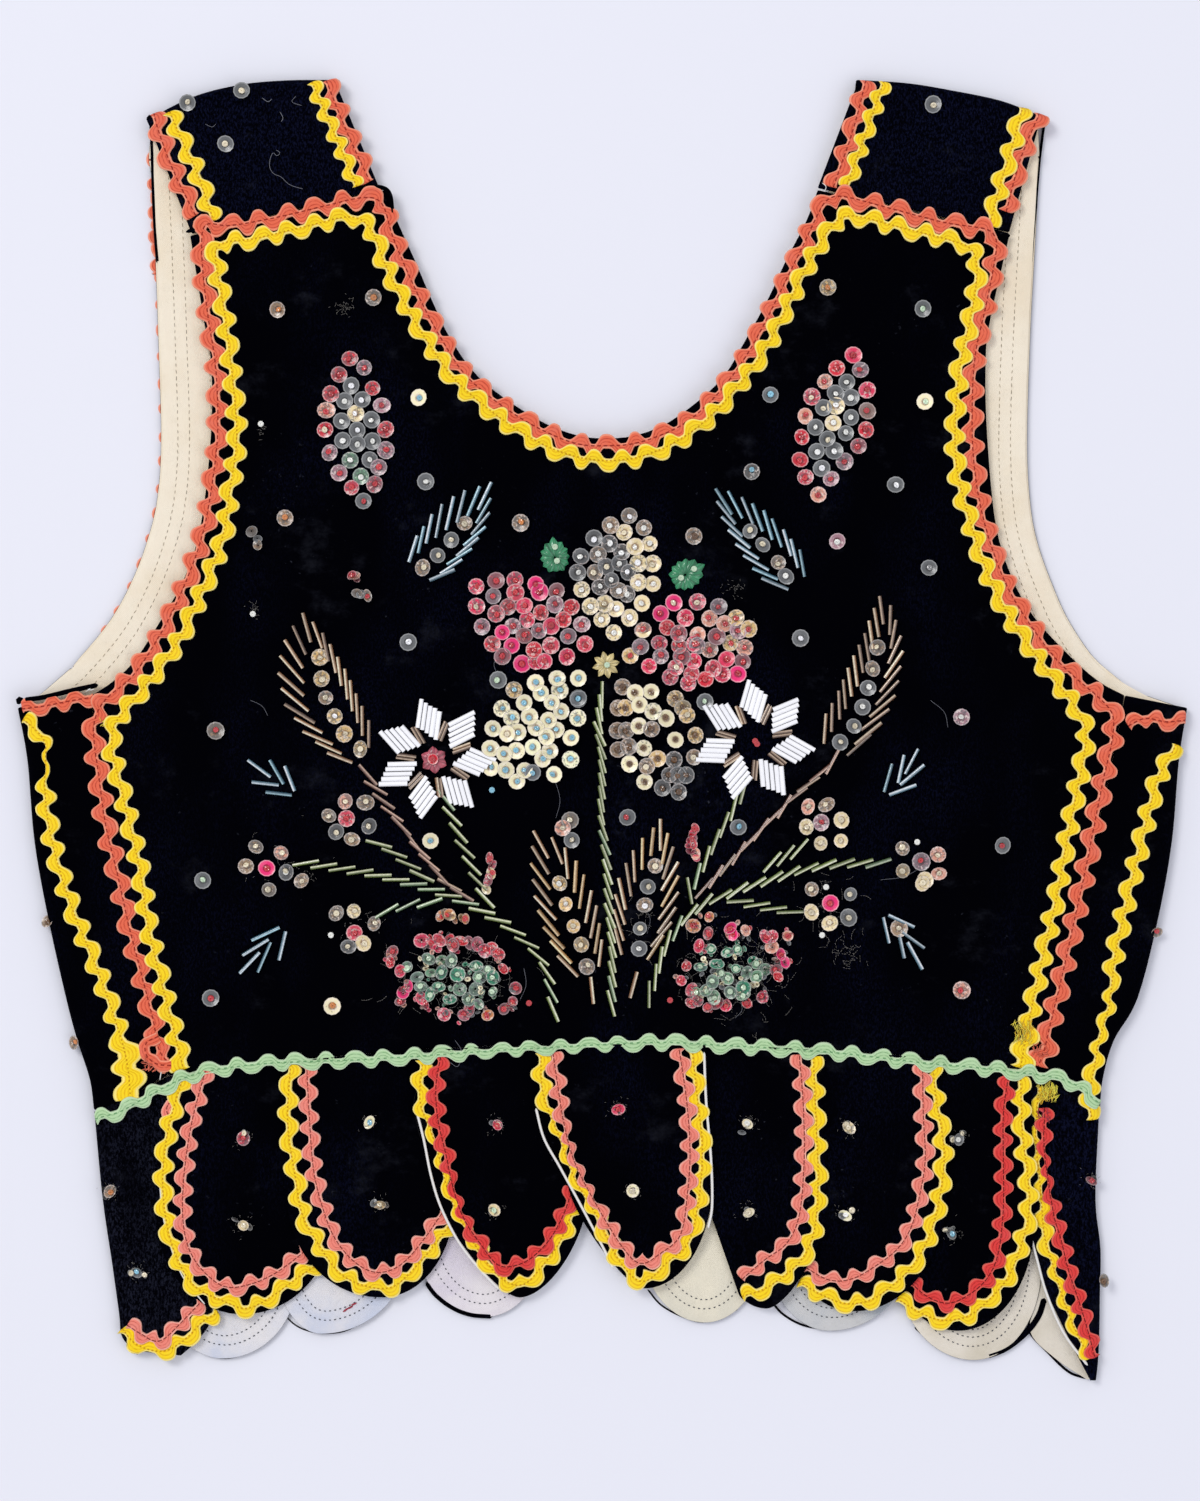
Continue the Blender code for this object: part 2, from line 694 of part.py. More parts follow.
def front_outline(side):
    """A front: waist, underarm seam, armhole, strap seam, neck and the opening at the middle."""
    sign = -1 if side == "left" else 1
    middle = FRONT_OPENING * sign
    under = list(reversed(rest_seam("side", side, GAP)))
    armhole = spline(side_line(FRONT_ARMHOLES, side)[1:], 3)
    strap = list(reversed(rest_seam("strap", side, GAP)))
    neck = neck_line(FRONT_NECK_INSET)
    half = [spot for spot in neck if sign * spot.x > 2 * FRONT_OPENING]
    if side == "right":
        half.reverse()
    floor = Vector((middle, NECK_BOTTOM[1] - FRONT_NECK_INSET))
    hem = waist_line(middle, sign * FRONT_HEM_REACH, 8)
    return [*under, *armhole, *strap, *half, floor, *hem]


def facing_outline(side):
    """The lining that shows inside an armhole: a strip along the front's armhole edge."""
    sign = -1 if side == "left" else 1
    armhole = side_line(FRONT_ARMHOLES, side)
    top_end = Vector((armhole[-1].x, FACING_TOP))
    outer = moved(spline([Vector(FACING_TIPS[side]), *armhole, top_end], 3), -sign * FACING_INSET)
    strip = [spot for spot in outer if spot.y > FACING_WIDTH]
    inner = [Vector((spot.x - sign * FACING_WIDTH, spot.y)) for spot in reversed(strip)]
    low_x, low_y = FACING_LOW_END
    return [*outer, *inner, Vector((sign * low_x, low_y))]


def tab_edges(row):
    """The four edges of a tab: waist, left side, right side, and the arc round its tip."""
    def arc(mid_x, start, end, count=6):
        reach_x, reach_y = mid_x - row.tip_x, row.tip_y - row.mid_y
        angles = [math.radians(start + (end - start) * k / count) for k in range(count + 1)]
        return plane([
            (row.tip_x + reach_x * math.cos(angle), row.mid_y + reach_y * math.sin(angle))
            for angle in angles
        ])

    waist = [spot - Vector((0, GAP)) for spot in waist_line(row.top_left, row.top_right, 6)]
    left = [waist[0], *arc(row.mid_left, 0.0, TAB_CORNER)]
    right = [waist[-1], *arc(row.mid_right, 0.0, TAB_CORNER)]
    tip = [*arc(row.mid_left, TAB_CORNER, 90.0), *arc(row.mid_right, TAB_CORNER, 90.0)[-2::-1]]
    return waist, left, right, tip


def make_tab(row):
    """A tab of the upper layer."""
    waist, left, right, tip = tab_edges(row)
    return patch(
        row.name, tip, waist, list(reversed(left)), list(reversed(right)), 7, 7,
        tab_height(row.over), TAB, "velvet",
    )


def make_under_tab(row):
    """A tab of a front, lining side up, resting on the surface."""
    _, left, right, tip = tab_edges(row)
    outline = [*left, *tip[1:-1], *reversed(right)]
    return slab(row.name, outline, 0.0, UNDER_TAB, "lining")


def make_folded_tab(name, rows):
    """An outermost tab, folded in half lengthwise where the sides of the vest fold."""
    top_edge, fold, rest_edge = (side_line(rows, edge) for edge in ("top_edge", "fold", "rest_edge"))
    clear_of_seam = 2.0
    top_edge[0].y = waist_y(top_edge[0].x) - clear_of_seam
    rest_edge[0].y = REST_SEAMS["side_left"][1][1] - clear_of_seam
    return folded(
        name, spline(top_edge, 3), spline(fold, 3), spline(rest_edge, 3), 9, (4, 4, 2),
        FOLDED_TAB_HEIGHT, TAB, "velvet",
    )


# ---- braids on the pieces -----------------------------------------------------------------------

def frame_runs(edges):
    """The frame braid's middle line as named runs, from the left waist round to the right waist."""
    order = [
        "side_left", "armhole_left", "shoulder_left", "neck",
        "shoulder_right", "armhole_right", "side_right",
    ]
    runs = []
    for name in order:
        kind = name.split("_")[0]
        drawn_upwards = name in ("armhole_right", "side_right")
        line = edges[name][::-1] if drawn_upwards else edges[name]
        line = spaced(line, round(length_of(line) / ROUTE_STEP))
        runs.append((kind, moved(line, CORAL_INSETS[kind])))
    return runs


def make_frame_braids(edges, surface):
    """The coral braid round the back's edges, and the yellow one inside it."""
    runs = frame_runs(edges)
    route = joined([line for _, line in runs])
    route = smoothed(spaced(route, round(length_of(route) / ROUTE_STEP)), 4)
    route = cut_short(route, WAIST_CLEARANCE, WAIST_CLEARANCE)
    stations = half_waves(route, FRAME_BRAID)
    braid("braid_back_coral", stations, FRAME_BRAID, surface, "coral")
    steps = []
    for station in stations:
        kind, _ = min(runs, key=lambda run: min((station.spot - p).length for p in run[1]))
        steps.append(YELLOW_STEPS[kind])
    beside = uncrowded(stepped(stations, smoothed(steps, 4)), FRAME_BRAID.pitch / 4)
    braid("braid_back_yellow", beside, FRAME_BRAID, surface, "yellow")


def make_strap_braids(side, rows, surface):
    """Coral and yellow braids along both long edges of a strap."""
    sign = -1 if side == "left" else 1
    for edge, row, inward in (("neck", rows[0], sign), ("arm", rows[-1], -sign)):
        line = plane([(row.seam_x, row.seam_y), (row.fold_x, row.fold_y)])
        line = moved(cut_short(line, *STRAP_ENDS), inward * STRAP_INSET)
        stations = half_waves(line, FRAME_BRAID)
        beside = stepped(stations, [inward * STRAP_STEP] * len(stations))
        braid(f"braid_strap_{side}_{edge}_coral", stations, FRAME_BRAID, surface, "coral")
        braid(f"braid_strap_{side}_{edge}_yellow", beside, FRAME_BRAID, surface, "yellow")


def make_side_braids(side, surface):
    """The yellow braid down an underarm piece, and the short coral one along its top edge."""
    down = half_waves(spline(plane(SIDE_YELLOW[side])), FRAME_BRAID)
    across = half_waves(plane(SIDE_CORAL[side]), SIDE_CORAL_BRAID)
    braid(f"braid_side_{side}_yellow", down, FRAME_BRAID, surface, "yellow")
    braid(f"braid_side_{side}_coral", across, SIDE_CORAL_BRAID, surface, "coral")


def make_waist_braid(surface):
    """The green braid over the whole waist seam, from one side fold to the other."""
    seam_ends = (-152.0, 150.0)
    route = [*plane(WAIST_GREEN["left"]), *waist_line(*seam_ends, 10), *plane(WAIST_GREEN["right"])]
    route = smoothed(spaced(spline(route), 60), 3)
    braid("braid_waist_green", half_waves(route, WAIST_BRAID), WAIST_BRAID, surface, "green")


def braid_tab(name, stations, beside, tabs):
    """Lay a tab's yellow braid and the second one inside it, up to the tab that lies over it."""
    surface = Surface([tabs[name]])
    above = COVERED_BY.get(name)
    neighbour = Surface([tabs[above]]) if above else None
    inner_colour = "red" if name in INNER_RED else "salmon"
    for which, run, colour in (("outer", stations, "yellow"), ("inner", beside, inner_colour)):
        run = ended(below_waist(run), neighbour, TAB_BRAID)
        braid(f"braid_{name}_{which}", run, TAB_BRAID, surface, colour)


def make_tab_braids(row, tabs):
    """Both braids round a tab's edge, from the end at the waist that shows."""
    _, left, right, tip = tab_edges(row)
    route, inward = [*left, *tip[1:-1], *reversed(right)], -1
    if row.over == "right":
        route, inward = route[::-1], 1
    route = cut_short(route, 0.0, (1.0 - row.braided) * length_of(route))
    route = smoothed(spaced(route, 90), 3)
    line = smoothed(spaced(moved(route, inward * TAB_OUTER_INSET), 90), 3)
    stations = half_waves(line, TAB_BRAID)
    braid_tab(row.name, stations, stepped(stations, [inward * TAB_INNER_STEP] * len(stations)), tabs)


def make_folded_tab_braids(name, tabs):
    """Both braids along a folded tab's open edge."""
    stations = half_waves(spline(plane(FOLDED_TAB_YELLOW[name])), TAB_BRAID)
    beside = stepped(stations, [-TAB_INNER_STEP] * len(stations))[1:-1]
    braid_tab(name, stations, beside, tabs)


def build():
    edges = back_edges()
    body = [make_back(edges)]
    body += [make_side(side, edges) for side in ("left", "right")]
    body += [make_strap("left", STRAP_LEFT), make_strap("right", STRAP_RIGHT)]
    for side in ("left", "right"):
        slab("front_" + side, front_outline(side), 0.0, VELVET, "velvet")
        slab("facing_" + side, facing_outline(side), VELVET + GAP, FACING, "lining")
    for row in UNDER_TABS:
        make_under_tab(row)
    tabs = {row.name: make_tab(row) for row in TABS}
    tabs["tab_1"] = make_folded_tab("tab_1", FOLDED_TAB_LEFT)
    tabs["tab_9"] = make_folded_tab("tab_9", FOLDED_TAB_RIGHT)

    surface = Surface(body)
    make_frame_braids(edges, surface)
    make_strap_braids("left", STRAP_LEFT, surface)
    make_strap_braids("right", STRAP_RIGHT, surface)
    for side in ("left", "right"):
        make_side_braids(side, surface)
    make_waist_braid(Surface([*body, *tabs.values()]))
    for row in TABS:
        make_tab_braids(row, tabs)
    for name in ("tab_1", "tab_9"):
        make_folded_tab_braids(name, tabs)


VEST = clear_scene()
build()
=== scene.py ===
import json
import math

import bmesh
import bpy
import numpy as np
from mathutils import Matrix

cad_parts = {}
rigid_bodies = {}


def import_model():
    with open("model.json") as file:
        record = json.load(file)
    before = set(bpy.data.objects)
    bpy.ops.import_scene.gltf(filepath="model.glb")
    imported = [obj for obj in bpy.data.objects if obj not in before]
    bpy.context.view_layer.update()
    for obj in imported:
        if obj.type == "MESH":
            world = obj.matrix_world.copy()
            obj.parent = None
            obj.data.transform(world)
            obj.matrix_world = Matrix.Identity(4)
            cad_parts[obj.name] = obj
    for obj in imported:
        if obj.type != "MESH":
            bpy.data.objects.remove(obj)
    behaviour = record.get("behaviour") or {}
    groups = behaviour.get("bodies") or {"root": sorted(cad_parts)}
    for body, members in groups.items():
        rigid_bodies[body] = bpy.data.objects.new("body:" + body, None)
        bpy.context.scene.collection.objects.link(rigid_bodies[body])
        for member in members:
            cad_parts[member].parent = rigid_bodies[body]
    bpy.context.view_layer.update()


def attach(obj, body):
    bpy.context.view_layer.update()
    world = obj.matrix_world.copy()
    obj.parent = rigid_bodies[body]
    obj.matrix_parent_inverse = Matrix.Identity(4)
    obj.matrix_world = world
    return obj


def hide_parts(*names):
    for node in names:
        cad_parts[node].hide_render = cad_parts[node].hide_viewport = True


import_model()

# All lengths are millimetres in the vest's own frame: it lies on z = 0, shoulders towards +y.
mm = 0.001
pixel = 0.36  # width of one pixel of the 1200 x 1501 view
pixelOrigin = (602.5, 730.0)  # the pixel that lies at x = y = 0
chance = np.random.default_rng(7)
uniform, normal = chance.uniform, chance.normal
signs = dict(left=-1, right=1)
upright = (0.0, 0.0, 1.0)


def spots(points):  # pixels of the view turned into places on the vest
    points = np.asarray(points, float)
    return np.stack([points[..., 0] - pixelOrigin[0], pixelOrigin[1] - points[..., 1]], axis=-1) * pixel


def walked(line):  # how far along the line each of its points lies
    return np.concatenate([[0.0], np.cumsum(np.linalg.norm(np.diff(line, axis=0), axis=1))])


def evenly(line, count):  # count points at equal distances along the line
    line = np.asarray(line, float)
    along = walked(line)
    stops = np.linspace(0.0, along[-1], count)
    return np.column_stack([np.interp(stops, along, line[:, k]) for k in range(line.shape[1])])


def curved(points, steps=8):  # a Catmull-Rom curve: each stretch a cubic of its four nearest points
    p = np.asarray(points, float)
    p = np.vstack([2 * p[0] - p[1], p, 2 * p[-1] - p[-2]])
    a, b, c, d = p[:-3, None], p[1:-2, None], p[2:-1, None], p[3:, None]
    t = (np.arange(steps) / steps)[None, :, None]
    bend = 2 * b + (c - a) * t + (2 * a - 5 * b + 4 * c - d) * t**2 + (3 * b - a - 3 * c + d) * t**3
    return np.vstack([0.5 * bend.reshape(-1, p.shape[1]), p[-2]])


def leftOf(line):  # unit vectors to the left of the way along the line
    way = np.gradient(line, axis=0)
    side = np.column_stack([-way[:, 1], way[:, 0]])
    return side / np.maximum(np.linalg.norm(side, axis=1, keepdims=True), 1e-9)


def shifted(line, distance):  # moved to the right of its way, by one distance or one for each point
    return line - leftOf(line) * np.reshape(distance, (-1, 1))


def softened(values, rounds):  # each value but the ends drawn towards its neighbours
    values = np.array(values, float)
    for _ in range(rounds):
        values[1:-1] = (values[:-2] + 2 * values[1:-1] + values[2:]) / 4
    return values


def ease(t):  # a smooth step from 0 to 1: three t squared less two t cubed
    t = np.clip(t, 0.0, 1.0)
    return t * t * (3 - 2 * t)


def patchOf(bottom, top, left, right, across=None):
    # Coons patch: ruled between both pairs of edges, less the blend of the four corners
    u = (np.linspace(0, 1, len(bottom)) if across is None else across)[:, None, None]
    v = np.linspace(0, 1, len(left))[None, :, None]
    ruled = bottom[:, None] * (1 - v) + top[:, None] * v + left[None] * (1 - u) + right[None] * u
    corners = (bottom[0] * (1 - u) + bottom[-1] * u) * (1 - v) + (top[0] * (1 - u) + top[-1] * u) * v
    return ruled - corners


def gridQuads(rows, columns, ring=False):  # quads of a grid of points numbered row by row
    i, j = np.meshgrid(np.arange(rows - 1), np.arange(columns if ring else columns - 1), indexing="ij")
    here, beside = i * columns + j, i * columns + (j + 1) % columns
    return np.stack([here, beside, beside + columns, here + columns], axis=-1).reshape(-1, 4)


def turnings(axes, angles):  # rotation matrices about unit axes, by the cross product formula
    axes = np.broadcast_to(np.asarray(axes, float), (len(angles), 3))
    c, s = np.cos(angles)[:, None, None], np.sin(angles)[:, None, None]
    x, y, z = axes.T
    o = np.zeros_like(x)
    cross = np.stack([o, -z, y, z, o, -x, -y, x, o], axis=-1).reshape(-1, 3, 3)
    return c * np.eye(3) + s * cross + (1 - c) * axes[:, :, None] * axes[:, None, :]


def pointing(angles):  # unit vectors at these angles from the x axis
    return np.stack([np.cos(angles), np.sin(angles)], axis=-1)


def circle(count, start=0.0):  # unit vectors at equal turns all the way round
    return pointing(start + np.linspace(0, 2 * math.pi, count, endpoint=False))


def raisedTo(places, z):  # flat places with their heights added
    return np.concatenate([places, np.broadcast_to(z, places.shape[:-1])[..., None]], axis=-1)


def distanceTo(points, line, chunk=3000):  # from each point to the nearest point of the line
    points, line = points.astype(np.float32), line.astype(np.float32)
    return np.concatenate([np.sqrt(((points[k:k + chunk, None] - line[None]) ** 2).sum(-1).min(1))
                           for k in range(0, len(points), chunk)])


def inside(points, outline):  # whether each point lies in the outline, by crossings of a level ray
    x, y = points[:, None, 0], points[:, None, 1]
    a, b = outline, np.roll(outline, -1, axis=0)
    spans = (a[:, 1] > y) != (b[:, 1] > y)
    rise = np.where(b[:, 1] == a[:, 1], 1e-9, b[:, 1] - a[:, 1])
    return (spans & (x < a[:, 0] + (y - a[:, 1]) * (b[:, 0] - a[:, 0]) / rise)).sum(1) % 2 == 1


def makePiece(name, points, faceGroups, finishes, outward=True):
    mesh = bpy.data.meshes.new(name)
    faces = [face for group in faceGroups for face in np.asarray(group).tolist()]
    mesh.from_pydata((np.asarray(points, float) * mm).tolist(), [], faces)
    if outward:
        shape = bmesh.new()
        shape.from_mesh(mesh)
        bmesh.ops.recalc_face_normals(shape, faces=shape.faces)
        shape.to_mesh(mesh)
        shape.free()
    mesh.shade_smooth()
    for finish in finishes if isinstance(finishes, list) else [finishes]:
        mesh.materials.append(finish)
    piece = bpy.data.objects.new(name, mesh)
    bpy.context.scene.collection.objects.link(piece)
    return piece


def keep(piece, *nodes, slot=None):  # the piece belongs to the vest, and stands for these nodes of the frame
    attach(piece, "root")
    if nodes:
        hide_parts(*nodes)
    return piece


def addLayer(piece, name, values, kind="vector"):  # one vector or colour (with a share) for each point
    layer = piece.data.attributes.new(name, "FLOAT_" + kind.upper(), "POINT")
    layer.data.foreach_set(kind, np.asarray(values, np.float32).ravel())


def tone(red, green, blue, share=1.0):  # a screen colour of 0 to 255 made linear
    c = np.array([red, green, blue], float) / 255
    c = np.where(c <= 0.04045, c / 12.92, ((c + 0.055) / 1.055) ** 2.4)
    return (*c.tolist(), share)


class Shading:  # a new finish, with short ways to add the nodes of its pattern
    def __init__(self, name, colour, roughness, specular, **sockets):
        self.finish = bpy.data.materials.new(name)
        self.finish.use_nodes = True
        self.finish.diffuse_color = colour
        self.tree = self.finish.node_tree
        self.inputs = self.tree.nodes["Principled BSDF"].inputs
        sockets |= {"Base Color": colour, "Roughness": roughness, "Specular IOR Level": specular}
        for key, value in sockets.items():
            self.inputs[key.replace("_", " ")].default_value = value

    def add(self, kind, inputs, **settings):
        made = self.tree.nodes.new("ShaderNode" + kind)
        for key, value in settings.items():
            setattr(made, key, value)
        for key, value in inputs.items():
            if isinstance(value, bpy.types.NodeSocket):
                self.tree.links.new(value, made.inputs[key])
            else:
                made.inputs[key].default_value = value
        return made.outputs

    def calc(self, operation, *values):
        return self.add("Math", dict(enumerate(values)), operation=operation)[0]

    def times(self, product, *others):
        for other in others:
            product = self.calc("MULTIPLY", product, other)
        return product

    def mix(self, share, first, second, blend="MIX"):  # first colour at share 0, second at share 1
        return self.add("Mix", {0: share, 6: first, 7: second}, data_type="RGBA", blend_type=blend)[2]

    def layer(self, name, output="Vector"):
        return self.add("Attribute", {}, attribute_name=name)[output]

    def place(self, *scales, by=None):  # where on the piece, or in one of its layers, stretched by the scales
        found = self.layer(by) if by else self.add("TexCoord", {})["Object"]
        return self.add("Mapping", {"Vector": found, "Scale": scales})[0] if scales else found

    def split(self, vector):
        return self.add("SeparateXYZ", {0: vector})

    def noise(self, where, scale, detail=2.0, rough=0.5):  # scale is cycles to a metre
        return self.add("TexNoise", {"Vector": where, "Scale": scale, "Detail": detail, "Roughness": rough})["Fac"]

    def between(self, value, low, high, kind="SMOOTHSTEP"):  # 0 below low, 1 above high
        return self.add("MapRange", {"Value": value, "From Min": low, "From Max": high}, interpolation_type=kind)[0]

    def paint(self, colour):
        self.tree.links.new(colour, self.inputs["Base Color"])

    def paintTint(self, share, dark):  # each copy's own tint, darkened where the share is high
        tint = self.layer("tint", "Color")
        self.paint(self.mix(share, tint, self.mix(1.0, tint, (dark, dark, dark, 1.0), "MULTIPLY")))

    def bump(self, height, distance, strength):  # distance in metres
        made = self.add("Bump", {"Height": height, "Distance": distance, "Strength": strength})
        self.tree.links.new(made[0], self.inputs["Normal"])


# the haze and the pale grey tone stand for a dusty film and lint, and also paint the nap's sheen
velvetLook = dict(pile=tone(1, 1, 4), haze=tone(17, 21, 44), dust=tone(92, 96, 110), specks=(0.66, 0.84),
                  dustAndSheenBands=0.075)


def velvetFinish(name, hazeAmount, hazeFrom=0.42, haze=velvetLook["haze"]):
    # near-black pile; a thin blue haze in drifts and grey bands, each partly a dusty film and partly painted sheen of
    # the nap; and specks of lint caught in it
    look = velvetLook
    s = Shading(name, look["pile"], 0.95, 0.012, Sheen_Weight=0.03, Sheen_Roughness=0.35,
                Sheen_Tint=tone(150, 155, 190))
    # drifts of blue haze: partly a dusty film, partly painted sheen of the nap
    drifts = s.between(s.noise(s.place(1.0, 0.55, 1.0), 28, 3), hazeFrom, hazeFrom + 0.3)
    pile = s.noise(s.place(1.0, 0.5, 1.0), 1500, 3, 0.75)
    amount = s.times(drifts, s.between(pile, 0.44, 0.66), 1.3 * hazeAmount)
    # grey bands: partly a dusty film, partly painted sheen where the nap catches the light
    dustAndSheenBands = s.between(s.noise(s.place(0.8, 1.0, 1.0), 52, 5, 0.7), 0.56, 0.8)
    specks = s.between(s.noise(s.place(), 520, 2, 0.6), *look["specks"])
    patches = s.between(s.noise(s.place(), 38, 2), 0.52, 0.74)
    colour = s.mix(s.times(dustAndSheenBands, look["dustAndSheenBands"]), s.mix(amount, look["pile"], haze), look["dust"])
    s.paint(s.mix(s.times(specks, patches, 0.35), colour, look["dust"]))
    s.bump(pile, 0.00025, 0.5)
    return s.finish


liningLook = dict(
    cream=dict(cloth=tone(247, 236, 213), stain=tone(226, 203, 162), amount=0.35),
    cool=dict(cloth=tone(232, 229, 228), stain=tone(188, 200, 224), amount=0.85),
    pink=dict(cloth=tone(236, 230, 230), stain=tone(204, 194, 212), amount=0.8),
    warm=dict(cloth=tone(238, 230, 206), stain=tone(206, 204, 190), amount=0.65),
    grey=dict(cloth=tone(206, 206, 204), stain=tone(154, 168, 182), amount=0.8),
    ecru=dict(cloth=tone(232, 224, 208), stain=tone(196, 186, 160), amount=0.65),
    white=dict(cloth=tone(238, 236, 230), stain=tone(214, 208, 196), amount=0.4),
)


def liningFinish(name, cloth, stain, amount):
    # plain-woven cotton: over and under of two threads, slubs along both, old uneven stains, and painted shade where
    # it crumples
    s = Shading("lining_" + name, cloth, 0.88, 0.12, Sheen_Weight=0.08, Sheen_Roughness=0.5)
    warp, weft = (s.calc("SINE", s.times(s.split(s.place())[k], 9000.0)) for k in (0, 1))
    weave = s.between(s.times(warp, weft), -1.0, 1.0, "LINEAR")
    slubs = s.noise(s.place(1.0, 0.12, 1.0), 900, 2)
    stains = s.between(s.noise(s.place(), 34, 4, 0.6), 0.36, 0.70)
    crumple = s.between(s.noise(s.place(), 260, 4, 0.7), 0.5, 0.72)
    shade = s.calc("MULTIPLY_ADD", slubs, 0.30, s.times(weave, 0.12))
    # painted shade in the crumples, stronger on the more stained linings
    shade = s.calc("MULTIPLY_ADD", crumple, 0.5 * amount, shade)
    dark = tuple(0.80 * c for c in cloth[:3]) + (1.0,)
    s.paint(s.mix(s.times(shade, 0.55), s.mix(s.times(stains, amount), cloth, stain), dark))
    s.bump(s.calc("ADD", s.calc("ADD", weave, slubs), crumple), 0.00016, 0.7)
    return s.finish


# each edge tone is partly paler edge threads and partly a painted highlight
braidLook = dict(
    yellow=dict(
        light=tone(250, 214, 30), deep=tone(226, 162, 4), edge=tone(255, 240, 150), stitch=tone(204, 146, 12),
        pitch=1.5, share=0.45, width=0.26, rib=1.35, fade=0.15),
    coral=dict(
        light=tone(230, 106, 76), deep=tone(176, 48, 32), edge=tone(252, 170, 138), stitch=tone(140, 30, 22),
        pitch=2.3, share=0.58, width=0.24, rib=1.3, fade=0.25),
    salmon=dict(
        light=tone(238, 134, 116), deep=tone(194, 78, 64), edge=tone(255, 196, 176), stitch=tone(120, 40, 34),
        pitch=2.1, share=0.74, width=0.2, rib=1.2, fade=0.3),
    red=dict(
        light=tone(222, 62, 58), deep=tone(150, 18, 22), edge=tone(240, 116, 100), stitch=tone(96, 10, 14),
        pitch=2.1, share=0.74, width=0.2, rib=1.2, fade=0.2),
    green=dict(
        light=tone(178, 212, 160), deep=tone(100, 152, 96), edge=tone(212, 234, 196), stitch=tone(104, 158, 104),
        pitch=2.4, share=0.45, width=0.22, rib=1.2, fade=0.3))


def braidFinish(name, light, deep, edge, stitch, pitch, share, width, rib, fade):
    # flat woven band: fine ribs run along it with painted shade in the grooves between them, its edges are paler,
    # partly from paler threads and partly a painted highlight, and it is dark where it folds at the turns; a line of
    # machine stitches runs straight along the braid while the band swings under it
    s = Shading("braid_" + name, light, 0.74, 0.16, Sheen_Weight=0.06, Sheen_Roughness=0.4)
    band, sewn = s.split(s.layer("band")), s.split(s.layer("sewn"))
    warp = s.noise(s.place(0.22, 1.0, 1.0, by="band"), 0.9, 2)
    turn = s.times(s.calc("MULTIPLY_ADD", warp, 0.7, band[1]), 2 * math.pi / rib)
    groove = s.between(s.calc("COSINE", turn), 0.25, 1.0)
    strands = s.noise(s.place(0.8, 3.4, 1.0, by="band"), 1.0, 3)
    wear = s.between(s.noise(s.place(), 210, 3), 0.42, 0.78)
    # painted shade in the grooves between the ribs, uneven along the strands
    colour = s.mix(s.times(groove, s.between(strands, 0.3, 0.62), 0.78), light, deep)
    # paler edges: partly paler threads, partly a painted highlight
    colour = s.mix(s.times(s.between(band[2], 0.62, 0.84), 0.75), colour, edge)
    pale = tuple(c + 0.5 * (1.0 - c) * fade for c in light[:3]) + (1.0,)
    colour = s.mix(s.times(wear, fade), colour, pale)
    near = s.calc("LESS_THAN", s.calc("ABSOLUTE", sewn[1]), width)
    step = s.calc("FRACT", s.calc("DIVIDE", sewn[0], pitch))
    onTop = s.times(near, s.calc("LESS_THAN", step, share), sewn[2])
    s.paint(s.mix(s.times(onTop, 0.9), colour, stitch))
    height = s.calc("MULTIPLY_ADD", groove, -0.5, s.times(strands, 0.6))
    s.bump(s.calc("SUBTRACT", height, s.times(onTop, 0.8)), 0.0002, 0.9)
    return s.finish


def cupFinish():
    # clear cups: painted shade round the hole and a painted highlight at the rim, with a hint of their dye; where the
    # dye is left it has painted shade in the middle, is frosted and has a painted highlight at the rim, and is
    # flaked, with painted glints among the flaking; each copy's share says how much of it is left
    s = Shading("sequin", tone(120, 120, 120), 0.26, 0.5, Coat_Weight=0.35, Coat_Roughness=0.15)
    reach = s.split(s.layer("cup"))[0]
    tint, dye = s.layer("tint", "Color"), s.layer("tint", "Alpha")
    crumbs = s.noise(s.place(), 900, 3, 0.68)
    # flecks of white: partly flaked foil, partly painted glints
    flakesAndGlints = s.between(s.noise(s.place(), 760, 3, 0.66), 0.52, 0.62)
    left = s.between(s.calc("ADD", crumbs, dye), 0.97, 1.05)
    # painted shade round the hole and a painted highlight at the rim
    hub, rim = s.between(reach, 0.34, 0.56), s.between(reach, 0.80, 0.96)
    bare = s.mix(rim, s.mix(hub, tone(40, 42, 42), tone(84, 87, 88)), tone(162, 164, 162))
    # painted shade deepens the dye in the middle of the cup
    deep = s.mix(1.0, tint, (0.46, 0.36, 0.36, 1.0), "MULTIPLY")
    dyed = s.mix(s.times(rim, 0.42), s.mix(hub, deep, tint), tone(246, 232, 226))
    dyed = s.mix(s.times(flakesAndGlints, s.between(dye, 0.78, 0.66), 0.6), dyed, tone(246, 234, 222))
    colour = s.mix(left, s.mix(0.26, bare, tint), dyed)
    # a painted shadow: a thin dark line round each cup's rim, where it meets what lies under it
    s.paint(s.mix(s.times(s.between(reach, 0.95, 1.0), 0.6), colour, tone(26, 20, 18)))
    s.bump(crumbs, 0.0002, 0.5)
    return s.finish


def glassFinish(name, roughness, streaks):  # coloured glass, clouded in patches
    s = Shading(name, tone(180, 180, 180), roughness, 0.7, Coat_Weight=0.6, Coat_Roughness=0.06)
    s.paintTint(s.times(s.between(s.noise(s.place(), 1400, 2), 0.35, 0.68), streaks), 0.55)
    return s.finish


def threadFinish():
    s = Shading("thread", tone(200, 200, 196), 0.8, 0.2, Sheen_Weight=0.1, Sheen_Roughness=0.4)
    s.paintTint(s.noise(s.place(), 2600, 2), 0.75)
    return s.finish


velvet = velvetFinish("velvet", 0.3)
